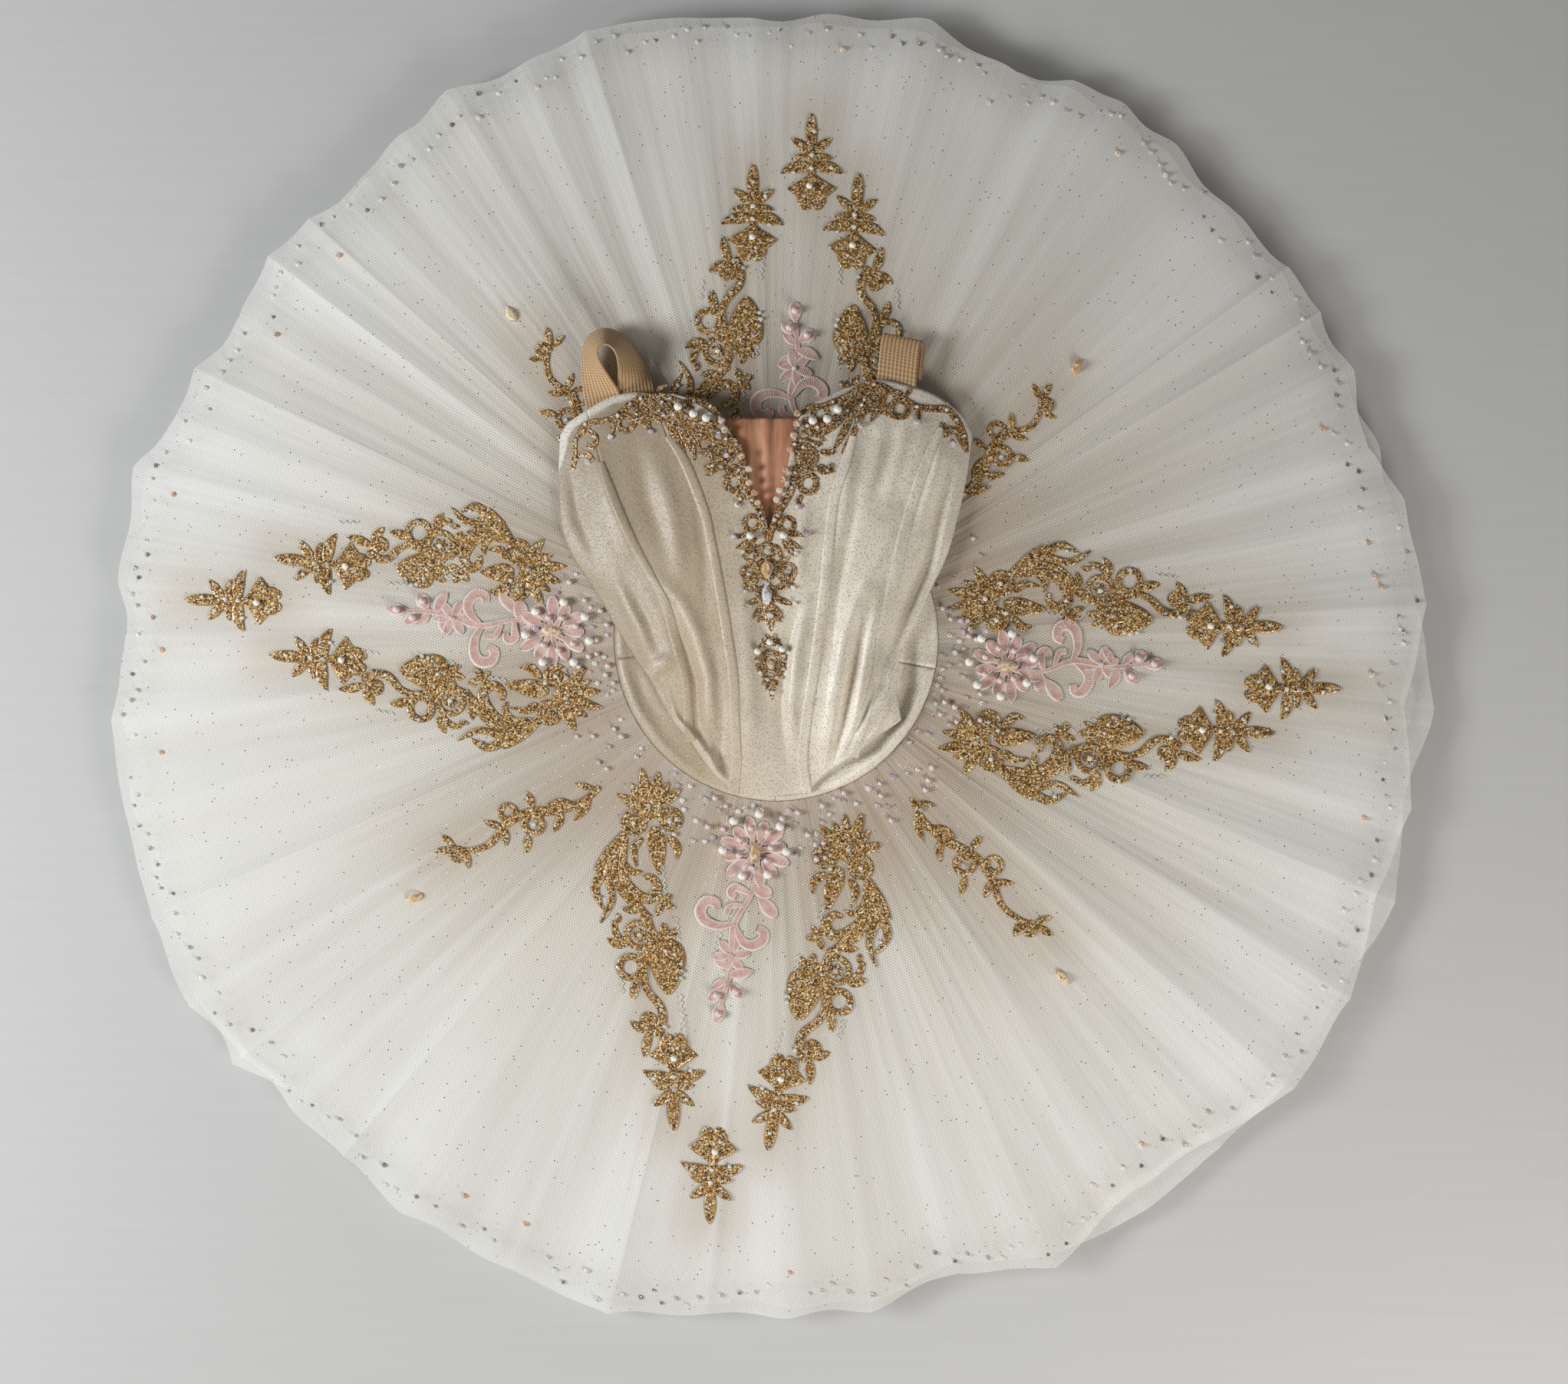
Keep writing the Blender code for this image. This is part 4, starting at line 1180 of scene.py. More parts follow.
def bodice_sides() -> tuple[SmoothTable, SmoothTable]:
    """Place across of the bodice's left and right edges, by the place from front to back."""
    left, right = ([(y, x) for x, y in hem + side[1:]]
                   for hem, side in ((HEM_LEFT, SIDE_LEFT), (HEM_RIGHT, SIDE_RIGHT)))
    return SmoothTable(left), SmoothTable(right)


class BodiceForm:
    """Outer face of the bodice: a dome between its side edges, with its creases."""

    def __init__(self) -> None:
        """Make smooth tables of the side edges and of the height along the middle."""
        self.left, self.right = bodice_sides()
        self.crown = SmoothTable(((-112, 56), (-90, 63), (-60, 71), (-20, 79), (40, 83),
                                  (100, 80), (145, 73), (170, 64), (190, 57)))

    @staticmethod
    def support(radius: float) -> float:
        """Height of what the bodice lies on."""
        if radius < HIP_RADIUS:
            return BASQUE_HEIGHT + BASQUE_SLOPE * (HIP_RADIUS - radius)
        return (cone_height(OVERLAY_HIP, OVERLAY_RIM, radius)
                + HIGHEST_PLEAT * radius / PLATE_REACH)

    def height(self, x: float, y: float, creased: bool = True) -> float:
        """Height of the outer face at a place, with its creases or without."""
        share = min(1.0, x / (self.right(y) if x > 0 else self.left(y)))
        fullness = 1.0 - share ** DOME_POWER
        edge = self.support(math.hypot(x, y)) + EDGE_LIFT
        crown = max(edge, self.crown(y))
        lift = sum(crease.lift(x, y) for crease in CREASES) if creased else 0.0
        near = min(1.0, 0.2 + fullness * 5.0)
        return max(edge + (crown - edge) * fullness + 1.5 * lift * near, edge - 1.4)

    def plain(self, x: float, y: float) -> float:
        """Height of the outer face without its creases."""
        return self.height(x, y, creased=False)


def add_patch(bm: Mesh, left: Line, right: Line, bottom: Line, top: Line, columns: int,
              rows: int, height: Surface) -> None:
    """Add a four-sided patch of a surface, inside four lines that meet at its corners.

    Args:
        bm: the mesh that takes the patch.
        left: its left side, from below.
        right: its right side, from below.
        bottom: its lower side, from the left.
        top: its upper side, from the left.
        columns: cells across.
        rows: cells upwards.
        height: height of the surface at a point.
    """
    low_left, low_right = bottom(0.0), bottom(1.0)
    high_left, high_right = top(0.0), top(1.0)
    for corner, column, row in grid_corners(bm, columns, rows):
        u, v = column / columns, row / rows
        flat = (bottom(u) * (1 - v) + top(u) * v + left(v) * (1 - u) + right(v) * u
                - low_left * (1 - u) * (1 - v) - low_right * u * (1 - v)
                - high_left * (1 - u) * v - high_right * u * v)
        corner.co = (flat.x, flat.y, height(flat.x, flat.y))


# ---------- lace as strokes


@dataclass(frozen=True)
class Stroke:
    """A corded piece of lace: the points that its middle passes, and its widths."""

    path: tuple[Point, ...]
    widths: tuple[float, ...]
    rise: float = 1.0
    steps: int = 9


LEAF_WIDTHS = (0.12, 0.62, 0.96, 0.90, 0.55, 0.06)
PETAL_WIDTHS = (0.18, 0.55, 0.90, 1.0, 0.80, 0.25)


def shaped(root: Point, heading: float, length: float, width: float, bend: float,
           widths: Sequence[float], rise: float = 1.0) -> Stroke:
    """A stroke from its root in a direction, with a bend to one side.

    Args:
        root: where it starts.
        heading: its direction in degrees, from along the run towards its side.
        length: how long it is.
        width: how wide it is at most.
        bend: how far its middle stands out to its left.
        widths: its widths along it, as shares of the width.
        rise: how high it stands.

    Returns:
        The stroke.
    """
    run = Vector((math.cos(math.radians(heading)), math.sin(math.radians(heading))))
    aside = Vector((-run.y, run.x)) * bend
    start = Vector(root)
    path = (start, start + run * length * 0.5 + aside, start + run * length)
    return Stroke(tuple(tuple(point) for point in path),
                  tuple(width * share for share in widths), rise)


def leaf(root: Point, heading: float, length: float, width: float,
         bend: float = 0.0) -> Stroke:
    """A pointed leaf."""
    return shaped(root, heading, length, width, bend, LEAF_WIDTHS)


def petal(root: Point, heading: float, length: float, width: float) -> Stroke:
    """A blunt petal."""
    return shaped(root, heading, length, width, 0.0, PETAL_WIDTHS)


def ring(middle: Point, radius: float, width: float, turns: float = 1.0,
         tighten: float = 0.0, start: float = 0.0) -> Stroke:
    """A ring, or a spiral where it tightens.

    Args:
        middle: its middle.
        radius: its radius, at the middle of its cord.
        width: the width of its cord.
        turns: how far round it goes; below 0, the other way.
        tighten: the share of its radius that it loses on the way.
        start: where it starts, in degrees.

    Returns:
        The stroke.
    """
    count = max(6, round(abs(turns) * 8))
    path = []
    for step in range(count + 1):
        angle = math.radians(start) + math.tau * turns * step / count
        reach = radius * (1.0 - tighten * step / count)
        path.append((middle[0] + reach * math.cos(angle),
                     middle[1] + reach * math.sin(angle)))
    return Stroke(tuple(path), (width, width), 1.0, count * 2)


def flower(middle: Point, radius: float, petals: float, width: float,
           turn: float = 0.0) -> list[Stroke]:
    """Petals round a middle."""
    return [petal(middle, turn + 360.0 * row / petals, radius, width)
            for row in range(round(petals))]


def rosette(middle: Point, radius: float) -> list[Stroke]:
    """A rose: a spiral of cord with leaves behind it."""
    x, y = middle
    return [Stroke(((x - radius * 0.5, y), (x + radius * 0.5, y)),
                   (radius * 0.9, radius * 1.7, radius * 0.9), 0.7),
            ring(middle, radius * 0.86, radius * 0.34),
            ring(middle, radius * 0.50, radius * 0.30, 1.5, 0.75, 90.0)]


def drawing(text: str, s: float = 1.0, w: float = 1.0) -> list[Stroke]:
    """Strokes from a written drawing; its lines that begin with # are remarks.

    Args:
        text: a stroke or flower to a line: its kind, its place x,y and its numbers.  A run
            has points / widths / rise and steps, where they aren't 1 and 9.
        s: how far places are stretched along the run.
        w: the scale of widths and lengths.

    Returns:
        The strokes, in the order of the lines.
    """
    found = []
    for line in text.strip().splitlines():
        if line.startswith("#"):
            continue
        kind, rest = line.split(maxsplit=1)
        first, *parts = table(rest)[0]
        if kind == "run":
            rise, steps = (*(parts[1] if len(parts) > 1 else (1.0,)), 9)[:2]
            found.append(Stroke(tuple((x * s, y) for x, y in first),
                                tuple(width * w for width in parts[0]), rise, int(steps)))
            continue
        make, scaled = KINDS[kind]
        (x, y), *sizes = first
        sizes = [size * w if row in scaled else size for row, size in enumerate(sizes)]
        made = make((x * s, y), *sizes)
        found += made if isinstance(made, list) else [made]
    return found


# Kinds of a drawing: what makes them, and which of their numbers are widths and lengths.
KINDS = {"leaf": (leaf, (1, 2)), "petal": (petal, (1, 2)), "ring": (ring, (0, 1)),
         "flower": (flower, (0, 2)), "rose": (rosette, (0,))}


LILY = """
petal 6,3.4 162 6.4 7.6
petal 6,-3.4 -162 6.4 7.6
run 3,0 24.6,0 / 15 19 20 20 20.5 22 27 30 26 19 13 9 6 / 1.5 15
run 9,6.5 14,11 15.2,17 / 3 7.5 6 0.6
run 9,-6.5 14,-11 15.2,-17 / 3 7.5 6 0.6
run 22,0 34,0.5 47,0 / 5 5.5 5.5 4.5 / 1.2
run 44,0 57,0 68.5,0 / 3 7.4 8.8 8 5.4 0.8 / 1.2
run 30.5,0 30.5,9 29,16 25.8,21.8 / 4 8.6 8.6 5.5 0.6
run 36.5,0 37.4,8 36,14.6 / 3.5 5.6 4.4 0.6
run 41,0 45.5,7 51,14.2 / 4 7.4 6.2 0.7
run 30.5,0 30.5,-9 29,-16 25.8,-21.8 / 4 8.6 8.6 5.5 0.6
run 36.5,0 37.4,-8 36,-14.6 / 3.5 5.6 4.4 0.6
run 41,0 45.5,-7 51,-14.2 / 4 7.4 6.2 0.7
"""


def lily() -> list[Stroke]:
    """A bell flower with paired leaves and one long tip leaf, from 0 to 68 mm along."""
    return drawing(LILY)


GARLAND = """
# fan of leaves, with two roses
leaf 16,6 -116 24 9 2
leaf 16,6 -148 20 7.4 1
leaf 16,6 -175 27 8.4 0.6
leaf 16,6 158 25 8.4 -0.8
leaf 16,6 134 22 7.4 -1.2
leaf 16,6 113 26 8.8 -2
leaf 14,6 -95 15 6.5
leaf 14,6 -130 15 6.5
leaf 14,6 180 15 6.5
leaf 14,6 146 15 6.5
leaf 14,6 94 15 6.5
run 9,6 26,7 / 9 17 14 / 0.8 10
rose 27,-6 9.2
rose 27,20 8.6
run 31,8 46,8.6 65,8 / 4 11 13.5 11.5 6.5 0.8 / 1.4 10
run 38,-1 45,-7.5 58,-7.5 / 2 6 5.6 3.4 0.7 / 1 10
run 38,16 47,22.5 56,21 / 2 6.4 6.4 3.6 0.7 / 1 10
# the frond: long tendrils that leave one root
run 33,-13 46,-25 58,-37 / 3 6.4 8.4 5.6 0.8 / 1.1 10
run 36,-14 55,-28 70,-38 86,-33.5 / 3 5.8 6.6 5.4 0.8 / 1 14
run 44,-20 59,-28 79,-27 95,-37 / 2.4 4.8 5.2 4.4 0.8 / 1 14
run 46,-19 59,-23 71,-21.5 83,-15 / 2 4.2 4.6 2.8 / 1 12
run 36,-13 61,-17.6 75,-11 81.5,-1 74,6 66,2 66.5,-3.5 / 4 6.6 7.4 7.2 5.6 2.8 / 1.2 20
run 52,-17 61,-11.5 61.5,-3.6 / 3 5.6 4.6 0.8 / 1 10
run 70,-19 80,-14.2 90,-6.5 103,-2 115,-4.4 129,-9 139,-11 / 4 6.5 6 5.6 5 / 1.2 22
leaf 85,8 62 9.5 6
leaf 85,8 128 9 5.6
leaf 85,8 -28 10 5.6
leaf 85,8 200 8 5.2
leaf 88,-8 -100 13 6 1
leaf 90,-8 62 9 5
# two rings with their leaves
ring 106,-10.4 9 4.4
ring 128,-19 7.8 4.8
run 94,-27 103,-26.6 113,-21 / 3 4.6 5.4 4 / 1 10
leaf 114,-23 -128 13 6.2
leaf 96,-24 176 7 4.4
leaf 137,-14 -22 15 7 -1
leaf 118,-12 18 11 5.4
# the big drop with its inner drop and its crown of leaves
run 112,7.6 128,7.4 150,5.4 / 12 21 25 25.6 23.5 18.5 11 1.4 / 1.5 16
run 113,7.6 121,7.6 131,7 / 2 8 9.5 6.5 0.9 / 2.4 10
leaf 113,7.6 180 14 7
leaf 113,5.6 -146 11 5.6
leaf 113,9.6 146 11 5.6
# stem, curl and forked leaves
run 137,-10.8 147,-8 157.5,-1 168,-0.6 179,-6 / 4.4 5 5.8 6 5 / 1.1 16
ring 166.5,-9.6 5.6 4 -1.35 0.62 60
leaf 174,-9.4 -120 15.5 7.6 1
leaf 174,-9 -20 20 7.2 -1
leaf 172,-10 -160 10 5.4
flower 106,-10.4 5 6 3.4
"""


def garland_scale(length: float) -> float:
    """How far the part of a garland before its lily is stretched to the garland's length."""
    return (length - 64.0) / 180.0


def placed(strokes: Iterable[Stroke], origin: Point, turn: float) -> list[Stroke]:
    """Strokes that are turned by some degrees about their own start, then moved."""
    cosine, sine = math.cos(math.radians(turn)), math.sin(math.radians(turn))
    return [replace(stroke, path=tuple((origin[0] + x * cosine - y * sine,
                                        origin[1] + x * sine + y * cosine)
                                       for x, y in stroke.path)) for stroke in strokes]


def garland(length: float) -> list[Stroke]:
    """Gold garland from the hip to the rim, ending in a lily."""
    return (drawing(GARLAND, garland_scale(length))
            + placed(lily(), (length - LILY_LENGTH, LILY_ASIDE), -5.8))


SPRIG = """
run 19,-3 33,-4.8 56,2.7 74,0.8 92,-1.5 110,0 120,0.6 / 2 3.4 5.4 4 3.2 2.6 / 1 24
run 56,2.7 60,12.4 58.8,23 52.8,28 45.3,26 44,19.5 48.4,17 / 3 6.4 8.4 9 8 7.5 6 / 1.1 22
run 33,-4 31.5,2.6 31,8 35.7,10 38,5.6 / 3 5.6 6.6 6.4 4.4 / 1.1 14
run 42,-1 45,8 51,9.6 / 2.4 4.2 5.2 4.4
run 57.7,1.5 66.9,-4.9 68.8,-12.4 63.8,-19 57.8,-18.8 56.2,-14 / 3 7 8.4 8.4 7.5 5.4 / 1.1 18
petal 29,-5 -82 14 11.5
petal 34,-10 -52 19 11
leaf 92,-1 -112 17 9.4 1
leaf 88,0 122 15 7.8 -1
leaf 96,0 48 12 6.6
petal 98,-3 -50 12.5 10.4
petal 104,1 44 12 9.4
petal 113,0 4 14 9.8
flower 78.6,0.5 13 6 7.6 12
"""


def sprig(length: float) -> list[Stroke]:
    """Pink sprig: a round flower, a stem with scrolls, a star flower and buds."""
    x, y = SPRIG_MIDDLE
    strokes = []
    for row in range(12):
        angle = 360.0 * row / 12 + 8.0
        reach = 25.5 if row % 2 else 22.5
        turn = math.radians(angle)
        root = (x + 8.0 * math.cos(turn), y + 8.0 * math.sin(turn))
        strokes.append(petal(root, angle, reach - 8.0, 9.4))
    return (strokes + flower(SPRIG_MIDDLE, 10.5, 8, 4.4, 20.0)
            + drawing(SPRIG, length / SPRIG_LENGTH))


SCROLL = """
run 0,0 16,5 34,2 50,-4 66,-3 82,5 96,3 106,-3 / 3 6 7 6 5 4 4 / 1.1 30
leaf 8,2 34 22 6.5 2
leaf 20,4 -22 20 6 -2
leaf 30,3 48 17 6 2
leaf 4,0 -40 14 5
ring 50,5 7.5 4.2 1.2 0.3 200
ring 62,-10 6.5 4 -1.2 0.35 120
leaf 56,10 60 13 6
leaf 46,-6 -96 12 5.5
leaf 70,-2 -44 14 5.5
leaf 68,0 62 12 5
ring 104,3 5.2 3.6 1.3 0.6 240
leaf 106,-3 -14 13 6
leaf 104,-4 -66 12 5.5
leaf 98,4 70 11 5
"""


def small_scroll(length: float) -> list[Stroke]:
    """Small gold scroll: fronds, a heart of two curls, a slim stem and an end curl."""
    s = length / 116.0
    return drawing(SCROLL, s, 0.55 + 0.45 * min(1.0, s))


@dataclass(frozen=True)
class Spray:
    """Where a piece of lace runs on the plate.

    side is 1 where its drop lies left of its run and -1 right of it.
    """

    name: str
    start: Point
    end: Point
    side: int

    @property
    def length(self) -> float:
        """Length of the run."""
        return math.dist(self.start, self.end)

    def at(self, along: float, aside: float) -> Point:
        """Point of the plate for a point of the run."""
        run = (Vector(self.end) - Vector(self.start)).normalized()
        across = Vector((-run.y, run.x)) * self.side
        found = Vector(self.start) + run * along + across * aside
        return found.x, found.y

    def away(self, x: float, y: float) -> float:
        """Distance of a point from the run."""
        run = Vector(self.end) - Vector(self.start)
        off = Vector((x, y)) - Vector(self.start)
        share = max(0.0, min(1.0, off.dot(run) / run.length_squared))
        return (off - run * share).length


def sprays(kind: str, names: str, places: str) -> tuple[Spray, ...]:
    """Sprays of one kind, from their names, and from start, end and side of each."""
    return tuple(Spray(f"{kind}_{name}", *place)
                 for name, place in zip(names.split(), entries(places)))


GARLANDS = sprays("garland", "front_left front_right left_upper left_lower "
                  "right_upper right_lower back_left back_right", """
-97,-102 -72,-345 1 / 61,-135 -6,-359 -1 / -163,55 -353,57 1 / -135,-50 -356,-11 -1
134,36 356,8 -1 / 127,-80 350,-66 1 / -42,105 -16,333 -1 / 62,100 58,327 1
""")
TIP_LILIES = sprays("lily", "front left right back", """
-44,-345 -47,-410 1 / -350,27 -415,28 1 / 331,-35 396,-35 1 / 25,303 25,368 1
""")
SPRIGS = sprays("sprig", "front left right back", """
-15,-146 -41,-268 -1 / -154,4 -271,22 1 / 159,-18 270,-18 1 / 13,115 14,235 1
""")
SCROLLS = sprays("scroll", "front_left front_right back_left back_right", """
-124,-104 -237,-155 1 / 95,-112 190,-213 -1 / -126,112 -166,215 1 / 124,100 196,174 -1
""")


class Cover:
    """What the bodice hides of the plate."""

    margin = 7.0

    def __init__(self) -> None:
        """Read the bodice's outline: its sides and its upper edge."""
        self.left, self.right = bodice_sides()
        self.top = SmoothTable(TOP_SIDE_LEFT + TOP_FRONT_LEFT[1:] + V_LEFT[:4:-1]
                               + ((-36, INSERT_TOP), (18, INSERT_TOP)) + V_RIGHT[5:]
                               + TOP_FRONT_RIGHT + TOP_SIDE_RIGHT[1:])

    def hides(self, x: float, y: float, margin: float = margin) -> bool:
        """Whether a point lies deeper than the margin inside the bodice's outline."""
        if y < -112.0 or math.hypot(x, y) < HIP_RADIUS:
            return math.hypot(x, y) < HIP_RADIUS + 1.0
        return (self.left(y) + margin < x < self.right(y) - margin
                and y < self.top(x) - margin)


class LaceBuilder:
    """Turns strokes into one corded mesh that lies on a surface."""

    across = (-1.0, -0.84, -0.55, 0.55, 0.84, 1.0)
    heights = (0.0, 0.46, 0.34, 0.34, 0.46, 0.0)

    def __init__(self, surface: Surface, hidden: Callable[[float, float], bool] | None = None
                 ) -> None:
        """Start an empty mesh that follows a surface, with nothing where it is hidden."""
        self.surface = surface
        self.hidden = hidden
        self.bm = bmesh.new()
        self.mark_across = self.bm.verts.layers.float.new("across")
        self.mark_along = self.bm.verts.layers.float.new("along")
        self.count = 0

    def add(self, stroke: Stroke, place: Callable[[float, float], Point]) -> None:
        """Add a stroke, or the part of it that isn't hidden.

        Args:
            stroke: the stroke in its own flat coordinates.
            place: takes those coordinates to the plan of the garment.
        """
        middles = spline(stroke.path, stroke.steps)
        first, last = 0, stroke.steps
        if self.hidden:
            seen = [step for step, point in enumerate(middles)
                    if not self.hidden(*place(point.x, point.y))]
            if len(seen) < 2:
                return
            first, last = seen[0], seen[-1]
        lift = 0.06 * (self.count % 6)
        self.count += 1
        lengths = run_lengths(middles)
        for corner, column, row in grid_corners(self.bm, last - first, len(self.across) - 1):
            column += first
            run = (middles[min(column + 1, stroke.steps)]
                   - middles[max(column - 1, 0)]).normalized()
            half = between(stroke.widths, column / stroke.steps) / 2.0
            point = middles[column] + Vector((-run.y, run.x)) * half * self.across[row]
            x, y = place(point.x, point.y)
            rise = stroke.rise * self.heights[row] * min(1.0, 0.35 + half / 2.5)
            corner.co = (x, y, self.surface(x, y) + lift + rise)
            corner[self.mark_across] = abs(self.across[row])
            corner[self.mark_along] = lengths[column]

    def finish(self) -> Mesh:
        """Close the rings and face every stroke upwards."""
        bmesh.ops.remove_doubles(self.bm, verts=self.bm.verts, dist=WELD)
        return face_up(self.bm)


def lay_lace(name: str, strokes: Iterable[Stroke], surface: Surface,
             place: Callable[[float, float], Point], finish: LaceFinish, slot: Slot,
             hidden: Callable[[float, float], bool] | None = None) -> Piece:
    """Make one piece of lace that stands for the solid of its name.

    Args:
        name: the solid's name.
        strokes: its strokes in their own flat coordinates.
        surface: height of what it lies on.
        place: takes its coordinates to the plan of the garment.
        finish: its finish.
        slot: its slot, passed on to make_piece.
        hidden: tells whether a place is covered, where nothing is made.

    Returns:
        The piece.
    """
    builder = LaceBuilder(surface, hidden)
    for stroke in strokes:
        builder.add(stroke, place)
    return make_piece(builder.finish(), "lace_" + name, finish, slot, (name,),
                      outwards=False)


def as_drawn(x: float, y: float) -> Point:
    """The place of strokes that are drawn in the plan of the garment."""
    return x, y


# ---------- beads and stones


class Gem(Enum):
    """Kinds of beads and stones, each a piece of its own."""

    PEARL = "pearls_white"
    PINK_PEARL = "pearls_pink"
    CLEAR = "stones_clear"
    TOPAZ = "stones_topaz"
    LILAC = "stones_lilac"
    NAVETTE = "stones_navette"
    SILVER = "stones_silver"
    HEM = "stones_hem"


def turn_corners(corners: Corners, degrees: float,
                 form: Callable[[float, float], Point] | None = None) -> Corners:
    """Give corners their form in plan, if one is asked for, and turn them there."""
    cosine, sine = math.cos(math.radians(degrees)), math.sin(math.radians(degrees))
    for corner in corners:
        x, y = corner.co.xy if form is None else form(*corner.co.xy)
        corner.co.xy = (x * cosine - y * sine, x * sine + y * cosine)
    return corners


GEM_FINISHES = {Gem.PEARL: PEARL, Gem.PINK_PEARL: PINK_PEARL, Gem.CLEAR: CLEAR_STONE,
                Gem.TOPAZ: TOPAZ_STONE, Gem.LILAC: LILAC_STONE, Gem.NAVETTE: CHAMPAGNE,
                Gem.SILVER: CLEAR_STONE, Gem.HEM: HEM_STONE}


@dataclass
class GemBox:
    """Collects beads and stones, then makes one piece of each kind.

    Each is kept as its place, its width (its length for a navette) and its direction in
    degrees.
    """

    seed: int = 11
    placed: dict[Gem, list[tuple[float, ...]]] = field(
        default_factory=lambda: {gem: [] for gem in Gem})

    def put(self, gem: Gem, *sizes: float) -> None:
        """Put a bead or stone: x, y, z, size and turn."""
        self.placed[gem].append(sizes)

    def build(self) -> list[Piece]:
        """Make a piece of each kind."""
        made = []
        for gem, rows in self.placed.items():
            round_bead = gem in (Gem.PEARL, Gem.PINK_PEARL)
            bm = bmesh.new()
            tint = bm.verts.layers.float.new("tint")
            dice = random.Random(self.seed + len(rows))
            for x, y, z, size, turn in rows:
                if round_bead:
                    corners = self.pearl(bm, size)
                elif gem in (Gem.NAVETTE, Gem.SILVER):
                    corners = self.navette(bm, size, turn)
                else:
                    corners = self.stone(bm, size, dice.uniform(0.0, 45.0))
                share = dice.random()
                for corner in corners:
                    corner.co += Vector((x, y, z))
                    corner[tint] = share
            made.append(make_piece(bm, gem.value, GEM_FINISHES[gem],
                                   Slot.PEARL if round_bead else Slot.CRYSTAL,
                                   smooth=round_bead))
        return made

    @staticmethod
    def pearl(bm: Mesh, size: float) -> Corners:
        """Add a pearl that is sunk a little into what it sits on."""
        corners = bmesh.ops.create_icosphere(bm, subdivisions=2, radius=size / 2.0)["verts"]
        bmesh.ops.translate(bm, vec=(0, 0, size * 0.42), verts=corners)
        return corners

    @staticmethod
    def frustum(bm: Mesh, segments: int, low: float, *sizes: float) -> Corners:
        """Add a flat cone at a height, from its lower radius, upper radius and depth."""
        bottom, top, depth = sizes
        corners = bmesh.ops.create_cone(bm, cap_ends=True, segments=segments, radius1=bottom,
                                        radius2=top, depth=depth)["verts"]
        bmesh.ops.translate(bm, vec=(0, 0, low + depth / 2.0), verts=corners)
        return corners

    @classmethod
    def stone(cls, bm: Mesh, size: float, turn: float) -> Corners:
        """Add a round flat-backed stone with a table and a ring of facets."""
        return turn_corners(cls.frustum(bm, 8, 0.0, size / 2.0, size * 0.27, size * 0.42), turn)

    @classmethod
    def navette(cls, bm: Mesh, size: float, turn: float) -> Corners:
        """Add a pointed oval stone, half as wide as long, with its long side turned."""
        girdle = size * 0.26 * 0.35
        corners = (cls.frustum(bm, 12, 0.0, 1.0, 0.86, girdle)
                   + cls.frustum(bm, 12, girdle, 0.86, 0.50, size * 0.26 * 0.65))
        return turn_corners(corners, turn, lambda x, y: (
            x * size / 2.0, y * size / 4.0 * (1.0 - 0.35 * abs(x) ** 3)))


# ---------- lace on the plate


